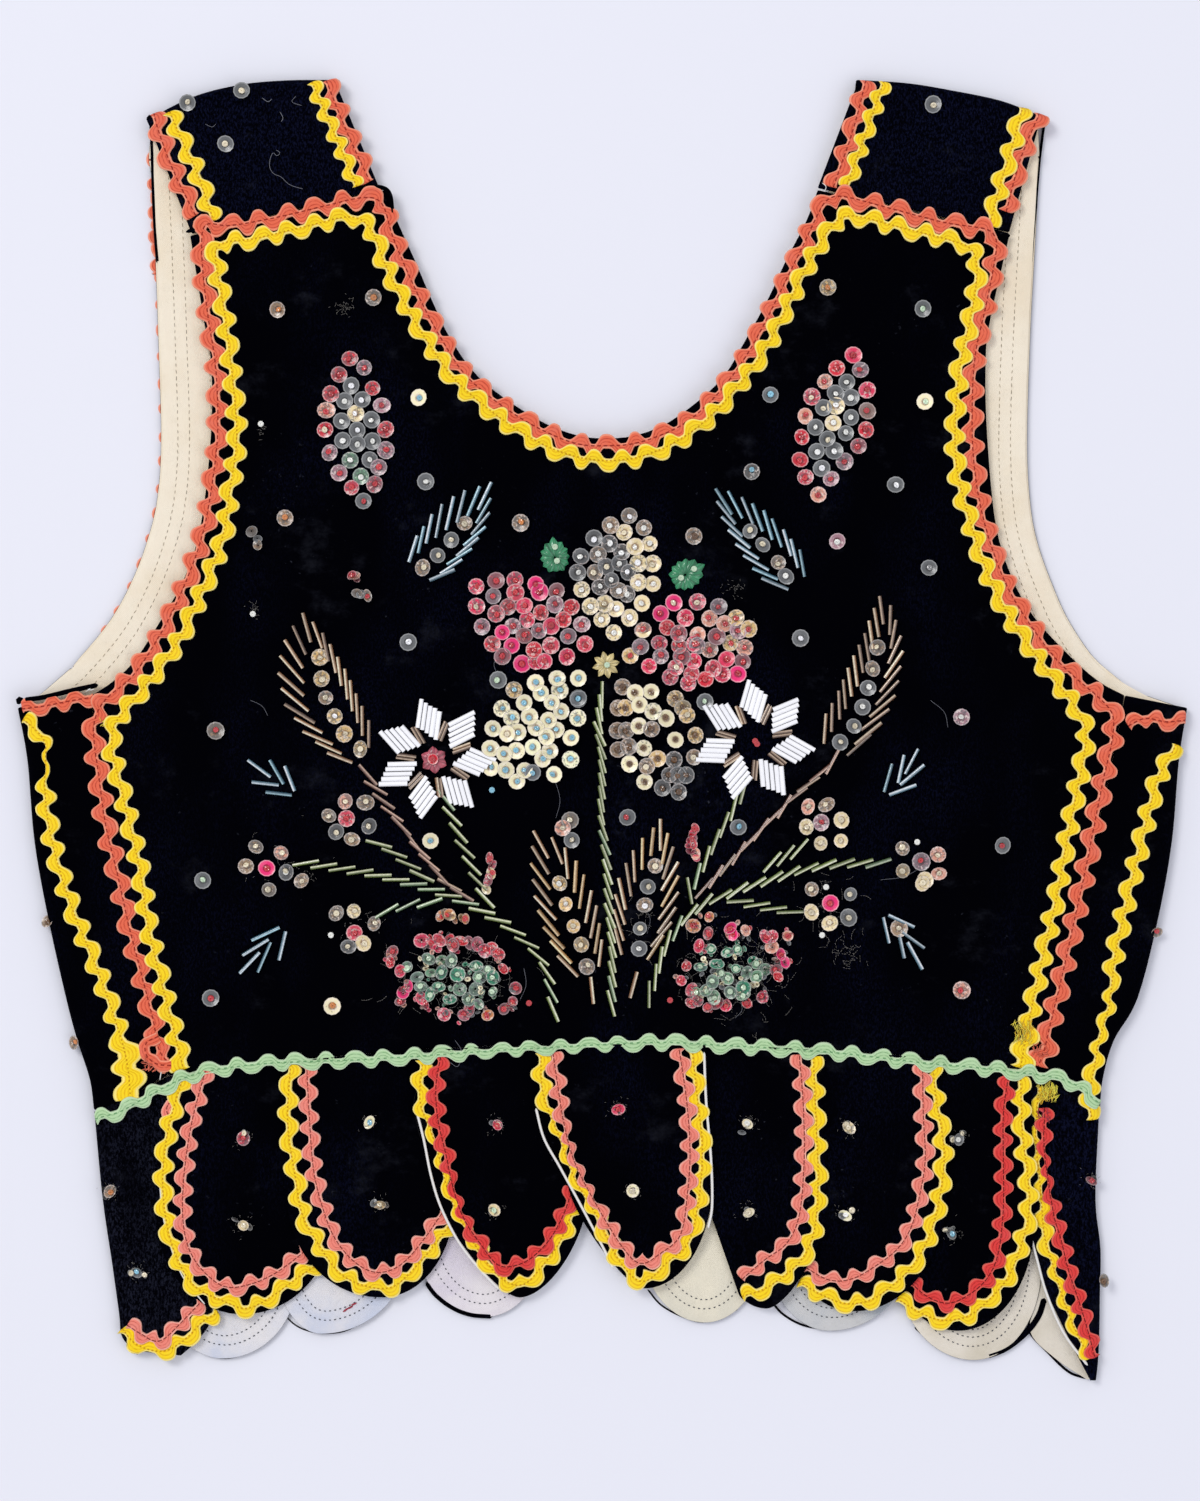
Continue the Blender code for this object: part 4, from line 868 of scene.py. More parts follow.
narrowed = dict(side_left_yellow=[(12, 26, 0.32), (124, 150, 1.85)], side_right_yellow=[(88, 118, 0.72)])
for name, pixels in edgeBraids.items():
    place, colour = name.rsplit("_", 1)
    size = "frameYellow" if colour == "yellow" else name.split("_")[0] + "Coral"
    size = braidSizes["neckYellow" if name.endswith("neck_yellow") else size]
    makeBraid("ricrac_" + name, routeOf(pixels, 4), size, colour, bodyTop, "braid_" + name,
              narrow=narrowed.get(name, ()), over=[f"ricrac_{place}_coral"] if colour == "yellow" else [])
onStraps = ["ricrac_" + name for name in edgeBraids if name.startswith("strap")]
coralRoute, yellowRoute = routeOf(coralFrame, 5), routeOf(yellowFrame, 5)
makeBraid("ricrac_back_coral", coralRoute, braidSizes["frameCoral"], "coral", bodyTop, "braid_back_coral",
          narrow=[(-6, 6, 1.15), (walked(coralRoute)[-1] - 10, 1e4, 1.3)],
          over=onStraps + ["ricrac_side_left_coral", "ricrac_side_right_coral"])
makeBraid("ricrac_back_yellow", yellowRoute, braidSizes["frameYellow"], "yellow", bodyTop, "braid_back_yellow",
          narrow=[(-4, 6, 1.45), (walked(yellowRoute)[-1] - 13, 1e4, 1.4)],
          over=["ricrac_back_coral"] + onStraps[1::2])
makeBraid("ricrac_back_coral_curl", routeOf([(159, 1036), (146, 1043), (147, 1056), (158, 1064), (172, 1065)], 2),
          braidSizes["curl"], "coral", bodyTop, over=["ricrac_back_coral"])
print("frame braids ready")

# middle lines of each tab's two braids, as pixels from the waist round the tip or up to the waist
tabBraids = dict(
    tab_1=dict(
        outer=[(122, 1329), (136, 1345), (163, 1352), (186, 1339), (202, 1322), (218, 1313)],
        inner=[(127, 1325), (147, 1338), (160, 1342), (177, 1327), (201, 1302)]),
    tab_2=dict(
        outer=[(184, 1076), (169, 1127), (163, 1179), (167, 1223), (177, 1257), (195, 1286), (225, 1301), (247, 1309),
            (273, 1296), (299, 1277), (322, 1262)],
        inner=[(206, 1070), (192, 1123), (184, 1179), (184, 1227), (195, 1260), (221, 1285), (244, 1286), (273, 1275),
            (303, 1253), (312, 1244)]),
    tab_3=dict(
        outer=[(291, 1064), (288, 1123), (296, 1179), (303, 1216), (322, 1249), (340, 1273), (366, 1286), (392, 1288),
            (415, 1268), (437, 1242), (452, 1222)],
        inner=[(307, 1064), (310, 1123), (314, 1171), (323, 1208), (335, 1238), (355, 1262), (377, 1273), (400, 1266),
            (422, 1242), (443, 1212)]),
    tab_4=dict(
        outer=[(423, 1060), (420, 1101), (431, 1130), (439, 1156), (448, 1190), (459, 1216), (478, 1249), (500, 1277),
            (522, 1286), (541, 1268), (560, 1242), (575, 1205), (582, 1185)],
        inner=[(441, 1056), (436, 1086), (438, 1119), (446, 1153), (454, 1190), (465, 1220), (482, 1245), (500, 1266),
            (526, 1262), (548, 1242), (563, 1216), (573, 1188)],
        colour="red", thin=dict(outer=[(18, 70, 0.6)], inner=[(42, 62, 0.6)])),
    tab_5=dict(
        outer=[(541, 1052), (543, 1093), (560, 1138), (575, 1179), (597, 1216), (619, 1260), (643, 1282), (667, 1262),
            (687, 1245), (696, 1215), (701, 1179), (702, 1141), (698, 1104), (692, 1048)],
        inner=[(553, 1052), (559, 1093), (564, 1123), (574, 1160), (594, 1200), (622, 1246), (641, 1264), (660, 1253),
            (680, 1236), (687, 1197), (690, 1153), (687, 1104), (679, 1048)],
        thin=dict(outer=[(20, 62, 0.62)], inner=[(26, 60, 0.6)])),
    tab_6=dict(
        outer=[(742, 1297), (763, 1290), (782, 1277), (801, 1260), (814, 1231), (818, 1179), (816, 1123),
            (813, 1056)],
        inner=[(742, 1280), (767, 1258), (786, 1244), (799, 1216), (804, 1160), (803, 1104), (799, 1054)]),
    tab_7=dict(
        outer=[(799, 1282), (823, 1296), (845, 1304), (868, 1301), (890, 1287), (912, 1266), (928, 1238), (938, 1205),
            (944, 1160), (941, 1127), (936, 1101), (932, 1062)],
        inner=[(806, 1268), (830, 1281), (853, 1279), (875, 1266), (897, 1249), (911, 1227), (919, 1197), (925, 1160),
            (923, 1115), (922, 1062)]),
    tab_8=dict(
        outer=[(897, 1299), (920, 1313), (942, 1321), (968, 1316), (990, 1298), (1009, 1275), (1023, 1238),
            (1029, 1208), (1027, 1171), (1022, 1134), (1020, 1076)],
        inner=[(911, 1283), (927, 1297), (948, 1304), (968, 1295), (987, 1278), (998, 1253), (1003, 1208),
            (1003, 1160), (1003, 1112), (1008, 1076)],
        colour="red"),
    tab_9=dict(
        outer=[(1040, 1086), (1037, 1110), (1036, 1141), (1040, 1179), (1042, 1205), (1045, 1238), (1054, 1268),
            (1063, 1298), (1076, 1331), (1090, 1359)],
        inner=[(1045, 1108), (1044, 1145), (1048, 1179), (1055, 1220), (1061, 1238), (1068, 1268), (1079, 1301),
            (1087, 1327), (1095, 1358)],
        colour="red",
        thin=dict(outer=[(0, 44, 0.72), (60, 100, 0.7)], inner=[(14, 32, 0.55)])))
tabOutlines = {}
for name in tabs:
    waist, left, right, tip = tabEdges(tabs[name])
    tabOutlines[name] = np.vstack([left, tip[1:-1], right[::-1], waist[::-1]])
for name, sewn in tabBraids.items():
    top = foldedTabTop(name) if name in foldedTabs else tabTop(name)
    for edge, size, colour, over in (("outer", "tabYellow", "yellow", []),
                                     ("inner", "tabInner", sewn.get("colour", "salmon"), [f"ricrac_{name}_outer"])):
        makeBraid(f"ricrac_{name}_{edge}", routeOf(sewn[edge], 6), braidSizes[size], colour, top,
                  f"braid_{name}_{edge}", narrow=sewn.get("thin", {}).get(edge, ()), over=over)
makeBraid("ricrac_tab_2_end", routeOf([(177, 1098), (169, 1103), (167, 1112), (173, 1120)], 1),
          braidSizes["tabEnd"], "salmon", tabTop("tab_2"), lift=-0.3)


def waistTop(x, y):  # the highest of the back and of the tabs along the waist seam
    heights = [bodyTop(x, y)]
    for name, outline in tabOutlines.items():
        low, high = outline[:, 0].min() - 1, outline[:, 0].max() + 1
        onTab = ease((y - waistY(x)) / -1.2) * ease((x - low) / 1.5) * ease((high - x) / 1.5)
        heights.append(tabTop(name)(x, y) * onTab)
    return np.maximum.reduce(heights)


crossed = ("ricrac_back", "ricrac_side_left_yellow", "ricrac_side_right", "ricrac_tab_")
makeBraid("ricrac_waist_green", routeOf(waistBraid, 6), braidSizes["waistGreen"], "green", waistTop,
          "braid_waist_green", over=[name for name in laid if name.startswith(crossed)], narrow=[(140, 195, 0.85)])
print("all braids ready")


cupShape = dict(hole=0.5, floor=1.45, radius=3.15, depth=0.7, foil=0.11, segments=12)
beadShape = dict(ring=0.60, tube=0.52, around=8, across=5, start=0.3)
cupTones = dict(  # dye, how much of it is left, how unevenly
    pink=((222, 40, 84), 0.56, 0.09), rose=((202, 56, 78), 0.49, 0.1), hotPink=((236, 26, 112), 0.84, 0.04),
    crimson=((208, 22, 46), 0.58, 0.09), blush=((222, 156, 130), 0.54, 0.08), cream=((232, 212, 160), 0.60, 0.05),
    clear=((120, 120, 118), 0.30, 0.05), pearl=((248, 238, 192), 0.66, 0.05), gold=((218, 182, 116), 0.53, 0.06),
    brown=((150, 124, 96), 0.50, 0.05), green=((30, 128, 92), 0.58, 0.05), leaf=((50, 136, 90), 0.86, 0.02),
    wine=((172, 82, 94), 0.8, 0.1), star=((218, 198, 136), 0.84, 0.02), dark=((76, 70, 64), 0.44, 0.06),
    paleGreen=((110, 156, 120), 0.50, 0.06), mauve=((172, 126, 136), 0.50, 0.07), orange=((224, 142, 76), 0.56, 0.05))
beadTones = dict(
    red=(200, 50, 56), white=(250, 250, 240), paleGreen=(206, 230, 196), paleBlue=(140, 200, 220),
    cream=(232, 220, 188), orange=(212, 132, 66), brown=(104, 72, 40), grey=(150, 150, 148))


def crossQuads(segments, n):  # quads of a grid that is closed both ways
    i, j = np.meshgrid(np.arange(segments), np.arange(n), indexing="ij")
    near, far = i * n, (i + 1) % segments * n
    return np.stack([near + j, far + j, far + (j + 1) % n, near + (j + 1) % n], axis=-1).reshape(-1, 4)


def turnedTemplate(profile, segments):  # a closed profile of radius and height spun round the upright
    radius, height = np.asarray(profile, float).T
    places = raisedTo(circle(segments)[:, None] * radius[None, :, None], height)
    return places.reshape(-1, 3), crossQuads(segments, len(radius))


def cupTemplate():
    c = cupShape
    top = [(c["hole"], c["foil"]), (c["floor"], c["foil"] + 0.04), (c["radius"], c["depth"])]
    below = [(c["floor"] + 0.06, 0.0), (c["hole"], 0.0)]
    return turnedTemplate(top + below, c["segments"])


def beadTemplate():
    ring = beadShape["tube"] * circle(beadShape["across"], beadShape["start"]) + (beadShape["ring"], 0)
    return turnedTemplate(ring, beadShape["around"])


def tubeTemplate(bore, sides=12):  # a short hollow glass tube along x
    places, quads = turnedTemplate([(1, -0.5), (1, 0.5), (bore, 0.5), (bore, -0.5)], sides)
    return places[:, [2, 0, 1]], quads


def copied(places, sizes, rotations, centres, *faceKinds):
    # each template point scaled, turned by its copy's matrix and moved to its place; the faces numbered on
    n = len(centres)
    points = np.einsum("nij,nvj->nvi", rotations, places[None] * np.reshape(sizes, (n, 1, -1))) + centres[:, None]
    step = (np.arange(n) * len(places))[:, None, None]
    return points.reshape(-1, 3), [(faces[None] + step).reshape(-1, faces.shape[1]) for faces in faceKinds]


def scattered(name, template, centres, rotations, sizes, tints, finish=None, **layers):  # one mesh of many copies
    piece = makePiece(name, *copied(template[0], sizes, rotations, centres, template[1]), finish or beadGlass)
    piece.data.set_sharp_from_angle(angle=math.radians(62))
    addLayer(piece, "tint", np.repeat(np.asarray(tints, float), len(template[0]), axis=0), "color")
    for kind, values in layers.items():
        addLayer(piece, kind, values)
    return keep(piece)


def looseBeads(name, where, height, kinds):
    scattered(name, beadTemplate(), raisedTo(where, topOfVest(*where.T) + height), spun(len(where)),
              np.ones(len(where)), [tone(*beadTones[kind]) for kind in kinds])


foldedSides = (-160, 156)  # beyond these x the tabs are the ones that fold under


def topOfVest(x, y):  # top of whichever velvet lies uppermost at a place
    x, y = np.asarray(x, float), np.asarray(y, float)
    height = bodyTop(x, y)
    flat = np.column_stack([x.ravel(), y.ravel()])
    below = y < waistY(x)
    for name, outline in tabOutlines.items():
        on = inside(flat, outline).reshape(x.shape)
        height = np.where(on, np.maximum(tabTop(name)(x, y), np.where(below, 0, height)), height)
    folded = np.where(x < 0, foldedTabTop("tab_1")(x, y), foldedTabTop("tab_9")(x, y))
    return np.where(below & ((x < foldedSides[0]) | (x > foldedSides[1])), folded, height)


def leaning(count, most):  # small leans about level axes at random
    axes = raisedTo(pointing(uniform(0, 2 * math.pi, count)), 0.0)
    return turnings(axes, uniform(0.35, 1.0, count) * math.radians(most))


def spun(count):
    return turnings(upright, uniform(0, 2 * math.pi, count))


def unevenly(tints, low, high):  # each colour a little lighter or darker
    tints = np.array(tints, float)
    tints[:, :3] = np.clip(tints[:, :3] * uniform(low, high, (len(tints), 1)), 0, 1)
    return tints


def sewSequins(name, centres, cups, beads, lean=11, size=1.0, crushed=0.1, lift=0.18):
    # a cup at each centre and the bead that stops its thread; crowded cups lie on one another, and each
    # is squeezed a little out of round
    centres = np.asarray(centres, float)
    n = len(centres)
    gap = np.linalg.norm(centres[:, None] - centres[None], axis=-1)
    crowd = ((gap < 2 * cupShape["radius"]) & (gap > 0)).sum(1)
    z = topOfVest(*centres.T) + lift + np.minimum(crowd, 4) * 0.09 + uniform(0, 0.22, n) + 0.022 * lean * size
    base = np.column_stack([centres, z])
    lie = leaning(n, lean) @ spun(n)
    foil = unevenly([tone(*cupTones[key][0]) for key in cups], 0.8, 1.15)
    foil[:, 3] = [cupTones[key][1] for key in cups] + normal(0, 1, n) * [cupTones[key][2] for key in cups]
    template = cupTemplate()
    reach = np.hypot(*template[0][:, :2].T) / cupShape["radius"]
    sizes = np.tile(uniform(1.0, 1.09, (n, 1)) * size, 3)
    sizes[:, 0] *= 1 - uniform(0, crushed, n)
    sizes[:, 1] *= 1 - uniform(0, crushed, n)
    scattered("sequins_" + name, template, base, lie, sizes, foil, cupSheen,
              cup=np.tile(np.column_stack([reach, template[0][:, 2], 0 * reach]), (n, 1)))
    has = [k for k, key in enumerate(beads) if key]
    if not has:
        return
    tints = unevenly([tone(*beadTones[beads[k]]) for k in has], 0.8, 1.2)
    m = len(tints)
    level = raisedTo(pointing(uniform(0, 2 * math.pi, m)), 0.0)
    onEdge = turnings(level, uniform(0.1, 0.9, m)) @ spun(m)
    above = raisedTo(normal(0, 0.2, (m, 2)), 0.62)
    scattered("beads_" + name, beadTemplate(), base[has] + above, onEdge, uniform(0.9, 1.1, m), tints)


def arcOfThree(first, middle, last, count):  # evenly along the parabola through three places
    t = np.linspace(0, 1, 41)[:, None]
    a, b, c = (np.asarray(p, float) for p in (first, middle, last))
    arc = a * (1 - t) * (1 - 2 * t) + 4 * b * t * (1 - t) + c * t * (2 * t - 1)
    return evenly(arc, count) if count > 1 else arc[20:21]


def varied(kinds, other, share):  # some of the kinds swapped for another
    return [other if chance.random() < share else kind for kind in kinds]


lozenges = dict(  # pixels of the cups of each lozenge, by colour: red beads round the rim, white in the heart
    left=dict(
        rim=dict(
            crimson=[(350, 359), (340, 376), (373, 388), (331, 394), (326, 430), (385, 430)],
            mauve=[(364, 369), (382, 407), (330, 454), (386, 450), (340, 473), (379, 468)], blush=[(327, 411)],
            rose=[(352, 489), (375, 485)], clear=[(364, 502)]),
        heart=dict(
            clear=[(351, 385), (345, 402), (363, 400), (342, 421), (372, 420), (358, 430), (342, 441), (372, 442),
                (358, 445), (369, 460)],
            paleGreen=[(350, 459), (362, 477)], cream=[(356, 414)])),
    right=dict(
        rim=dict(
            pink=[(853, 355), (866, 390)], crimson=[(838, 368), (801, 437), (865, 430), (800, 460)],
            mauve=[(860, 370), (845, 461), (830, 478)], rose=[(806, 478), (812, 398), (858, 446)],
            blush=[(824, 382), (867, 411), (806, 417), (818, 495)]),
        heart=dict(
            clear=[(847, 382), (834, 394), (851, 398), (823, 408), (850, 416), (815, 427), (846, 434), (827, 438),
                (816, 451), (834, 452), (821, 469)],
            cream=[(836, 407), (833, 423)])))
petals = dict(  # pixels of the cups of each petal of the bouquet, by colour
    top=dict(
        bead="white",
        dark=[(594, 538), (609, 543), (622, 552), (580, 555), (620, 564), (606, 567), (578, 572), (628, 572),
            (612, 581), (600, 588), (627, 594)],
        brown=[(629, 516), (610, 525), (597, 555), (595, 573), (618, 591), (643, 527)],
        cream=[(625, 533), (635, 547), (650, 544), (639, 564), (653, 564), (639, 583), (654, 584), (581, 591),
            (642, 604), (591, 607), (605, 604), (616, 609), (602, 620), (629, 618), (613, 633), (643, 631)]),
    pink_left=dict(
        bead="red", hotPink=[(537, 583), (539, 592), (502, 632), (523, 664), (511, 645)],
        crimson=[(557, 591), (508, 606), (541, 613), (563, 619), (525, 636), (492, 645), (573, 607), (534, 650)],
        pink=[(476, 586), (516, 581), (525, 606), (527, 619), (551, 626), (544, 661), (477, 606), (567, 656),
            (536, 662)],
        rose=[(495, 581), (516, 592), (585, 645), (551, 646), (503, 657), (497, 614)],
        mauve=[(493, 597), (555, 603), (483, 626), (582, 624), (513, 626), (539, 632), (568, 636)]),
    pink_right=dict(
        bead="red", hotPink=[(674, 603), (661, 614), (738, 673)], crimson=[(705, 679), (668, 628), (679, 647)],
        pink=[(696, 602), (685, 618), (693, 643), (727, 659), (648, 666), (670, 678), (722, 674), (695, 660),
            (659, 642), (688, 683)],
        blush=[(708, 619), (724, 624), (697, 635), (744, 648), (643, 631), (710, 650)],
        gold=[(736, 618), (732, 643), (748, 629), (630, 657)],
        rose=[(678, 635), (717, 637), (681, 657), (676, 667), (693, 674), (742, 662), (714, 668)],
        mauve=[(719, 607), (738, 630), (641, 647), (661, 656), (697, 645)]),
    cream_left=dict(
        bead="paleBlue",
        pearl=[(536, 682), (557, 679), (579, 679), (541, 693), (561, 691), (525, 703), (551, 702), (502, 709),
            (512, 717), (529, 717), (548, 720), (561, 711), (577, 718), (493, 728), (508, 734), (519, 732),
            (536, 728), (546, 737), (557, 730), (571, 737), (491, 749), (504, 753), (517, 751), (532, 747),
            (551, 751), (542, 759), (570, 759), (492, 768), (505, 770), (525, 770), (553, 774), (517, 782)],
        gold=[(514, 691)], clear=[(578, 698), (532, 772)]),
    cream_right=dict(
        bead="brown",
        pearl=[(634, 692), (639, 705), (654, 711), (666, 719), (638, 727), (675, 740), (644, 748), (630, 764),
            (645, 781), (651, 691)],
        gold=[(682, 708), (687, 715), (696, 735), (658, 757), (674, 699), (625, 708)],
        brown=[(622, 687), (617, 709), (617, 729), (625, 731), (652, 729), (619, 750), (629, 747), (646, 767),
            (693, 757)],
        dark=[(674, 759), (663, 788), (669, 775), (678, 775), (686, 776), (679, 792)]))
print("sewing sequins")


def sewKinds(name, groups, bead, jitter=0.6, **how):  # every colour's list of pixels, in one mesh
    rows = [(x, y, cup) for cup, places in groups.items() for x, y in places]
    rows = [rows[k] for k in chance.permutation(len(rows))]
    where = np.array([row[:2] for row in rows], float) + normal(0, jitter, (len(rows), 2))
    beads = bead if isinstance(bead, list) else varied([bead] * len(rows), "cream", 0.06)
    sewSequins(name, spots(where), [row[2] for row in rows], beads, **how)


for side, zones in lozenges.items():
    sewKinds(f"lozenge_{side}_rim", zones["rim"], "red", crushed=0.16)
    sewKinds(f"lozenge_{side}_heart", zones["heart"], "white")
for petal, groups in petals.items():
    sewKinds("petal_" + petal, groups, groups.pop("bead"), lean=14)

rosettes = dict(  # the small flowers on the side stems, by colour; the red-beaded cups are their hearts
    blush=[(345, 801), (282, 853), (937, 854), (938, 873), (808, 807)],
    brown=[(366, 803), (352, 839), (330, 816), (257, 846), (246, 865), (302, 881), (269, 890), (337, 914), (374, 924),
        (827, 804), (902, 849), (811, 890)],
    dark=[(369, 826), (337, 832), (286, 872), (349, 947)],
    cream=[(354, 911), (364, 942), (842, 820), (840, 840), (820, 843), (806, 827), (921, 883), (811, 912),
        (829, 922)],
    gold=[(901, 871)], clear=[(849, 894), (847, 918)])
hearts = dict(rose=[(347, 818), (355, 932)], hotPink=[(267, 868), (831, 903)], mauve=[(821, 823), (921, 861)])
sewKinds("rosettes", rosettes, "cream", 0.4, lean=24, crushed=0.24)
sewKinds("rosette_hearts", hearts, ["red"] * 6, 0.3, lean=10)

ovals = dict(  # crushed cups by colour: pinks round the rim, greens with pale beads in the heart
    left=dict(
        rim=dict(
            crimson=[(393, 954), (389, 960), (492, 949), (462, 942), (449, 940), (454, 946), (498, 953), (502, 967)],
            hotPink=[(408, 986), (404, 992)],
            pink=[(398, 971), (418, 999), (444, 1011), (464, 1014), (479, 945), (431, 944), (421, 939), (471, 942),
                (485, 951), (427, 1004), (436, 948)],
            rose=[(505, 1008), (515, 988), (439, 940), (512, 1000), (400, 1000), (470, 1010)], orange=[(487, 1014)]),
        heart=dict(
            green=[(441, 972), (451, 1000), (461, 973), (440, 985), (476, 968), (492, 979), (431, 994)],
            paleGreen=[(408, 967), (429, 960), (451, 960), (431, 973), (421, 986), (461, 989), (477, 990),
                (468, 1000), (479, 1003), (492, 991), (487, 970), (476, 979), (418, 976), (441, 960)])),
    right=dict(
        rim=dict(
            hotPink=[(729, 927), (733, 932), (780, 955), (784, 961)],
            pink=[(767, 936), (761, 997), (728, 1007), (698, 947), (680, 981), (771, 938)],
            crimson=[(688, 964), (748, 1003), (777, 977), (707, 934)],
            rose=[(707, 1005), (688, 1000), (699, 1000), (715, 1003), (776, 966), (691, 989)],
            blush=[(746, 932), (789, 938), (770, 947)], orange=[(696, 924), (709, 917)]),
        heart=dict(
            green=[(701, 966), (729, 951), (739, 949), (752, 957), (735, 970), (711, 950), (718, 964), (744, 986)],
            paleGreen=[(746, 972), (757, 964), (711, 981), (726, 979), (696, 990), (729, 992), (756, 977), (716, 998),
                (742, 996), (706, 990), (721, 972), (765, 968)])))
for side in signs:
    for zone, bead, spread, kinds in (("rim", "red", 3.6, ["pink", "crimson", "blush", "clear"]),
                                      ("heart", "paleGreen", 6.0, ["paleGreen", "green", "pearl", "clear"])):
        groups = ovals[side][zone]
        places = np.array([place for row in groups.values() for place in row], float)
        beads = [bead if chance.random() < 0.8 else None for _ in places]
        sewKinds(f"oval_{side}_{zone}", groups, beads, 1.2, lean=30, crushed=0.42, size=0.9)
        torn = places[chance.integers(0, len(places), 3 * len(places))]
        torn += normal(0, spread, torn.shape)
        sewSequins(f"torn_{side}_{zone}", spots(torn), list(chance.choice(kinds, len(torn))), [None] * len(torn),
                   lean=52, size=0.4, crushed=0.5)

scatteredSequins = dict(  # by bead: pixel and cup
    cream=[(226, 144, "clear"), (242, 91, "clear"), (188, 103, "clear"), (933, 105, "clear"), (570, 820, "brown"),
        (563, 828, "blush"), (572, 840, "clear"), (925, 880, "cream"), (899, 928, "brown")],
    orange=[(278, 310, "brown"), (374, 298, "brown"), (285, 518, "brown"), (521, 523, "brown"), (828, 288, "gold"),
        (332, 1006, "pearl")],
    paleBlue=[(419, 398, "pearl"), (752, 472, "dark"), (770, 395, "clear"), (738, 827, "clear"), (578, 699, "clear"),
        (431, 841, "pearl")],
    white=[(426, 482, "clear"), (895, 485, "clear"), (408, 642, "clear"), (837, 541, "mauve"), (800, 638, "clear"),
        (961, 717, "mauve")],
    red=[(216, 731, "brown"), (1002, 845, "clear"), (961, 990, "blush"), (627, 817, "clear"), (211, 998, "clear")],
    paleGreen=[(923, 309, "clear"), (925, 402, "pearl"), (203, 880, "clear"), (498, 680, "clear"),
        (705, 702, "clear")],
    brown=[(694, 536, "brown")], grey=[(929, 568, "clear")])
for bead, rows in scatteredSequins.items():
    sewSequins("scattered_" + bead, spots([row[:2] for row in rows]), [row[2] for row in rows], [bead] * len(rows),
               lean=14)


crushedCups = [  # cups folded on themselves in a long heap: middle pixel, reach, heading, cups, how many
    ("orange", (453, 917), 12, 8, ["orange", "gold"], 7),
    ("red_left", (489, 874), 15, 98, ["crimson", "rose", "cream"], 6),
    ("red_right", (692, 838), 9, 102, ["crimson", "pink"], 6), ("red_low", (694, 853), 4, 60, ["pink", "blush"], 3),
    ("rose", (354, 577), 3, 20, ["rose", "blush"], 3), ("clear_high", (256, 538), 9, 60, ["brown", "clear"], 3),
    ("clear_low", (363, 595), 5, 20, ["brown", "clear"], 3),
]
for name, middle, reach, heading, cups, count in crushedCups:
    along = np.linspace(-reach, reach, count)[:, None] * pointing(math.radians(heading))
    where = middle + along + normal(0, 1.2, (count, 2))
    kinds = [cups[k % len(cups)] for k in range(count)]
    sewSequins("crushed_" + name, spots(where), kinds, varied([None] * count, "red", 0.3), lean=46, size=0.74,
               crushed=0.4)
loose = [
    (261, 424, "white"), (253, 614, "white"), (492, 790, "paleBlue"), (755, 741, "red"), (757, 744, "red"),
    (529, 1003, "red"), (670, 1000, "red"), (331, 935, "white"), (826, 887, "white"), (822, 935, "white"),
    (917, 842, "white"), (286, 872, "white"),
]
looseBeads("beads_loose", spots([row[:2] for row in loose]), 0.7, [row[2] for row in loose])

tabSequins = [(110, 1192, "brown", "orange"), (137, 1272, "clear", "paleBlue"), (243, 1138, "rose", "red"),
    (243, 1225, "cream", "cream"), (370, 1122, "pearl", "paleBlue"), (380, 1204, "gold", "cream"),
    (497, 1125, "pink", "red"), (494, 1210, "cream", "paleGreen"), (618, 1108, "pink", "red"),
    (632, 1190, "pearl", "cream"), (748, 1123, "pearl", "white"), (749, 1212, "pearl", "cream"),
    (849, 1128, "cream", "cream"), (846, 1215, "pearl", "white"), (958, 1139, "clear", "white"),
    (952, 1234, "clear", "paleBlue"), (1092, 1180, "rose", "red"), (1104, 1281, "brown", "brown"),
    (47, 922, "brown", "brown"), (74, 1043, "brown", "orange"), (1157, 932, "brown", "red")]
where = np.array([row[:2] for row in tabSequins], float)
sewSequins("tabs", spots(where), [row[2] for row in tabSequins], [row[3] for row in tabSequins], lean=46, size=0.84,
           crushed=0.4)
onTabs = where[:17]  # the others are on the sides
torn = np.repeat(onTabs, 2, axis=0) + normal(0, 3.4, (2 * len(onTabs), 2))
sewSequins("tab_remnants", spots(torn), varied(["dark"] * len(torn), "clear", 0.5),
           varied([None] * len(torn), "cream", 0.35), lean=60, size=0.5, crushed=0.5)


tubeSizes = dict(radius=0.66, bore=0.3, white=0.87)
tubeTones = dict(  # the streak of light along one side, and the glass
    bronze=((255, 236, 204), (128, 88, 52)), darkBronze=((214, 188, 160), (74, 48, 30)),
    rust=((224, 190, 166), (92, 58, 44)), gold=((255, 232, 184), (150, 108, 54)),
    blue=((238, 250, 255), (78, 112, 126)), teal=((190, 228, 236), (30, 78, 96)),
    green=((250, 252, 212), (90, 108, 40)), mint=((228, 242, 206), (70, 100, 56)),
    white=((255, 255, 255), (252, 252, 253)))


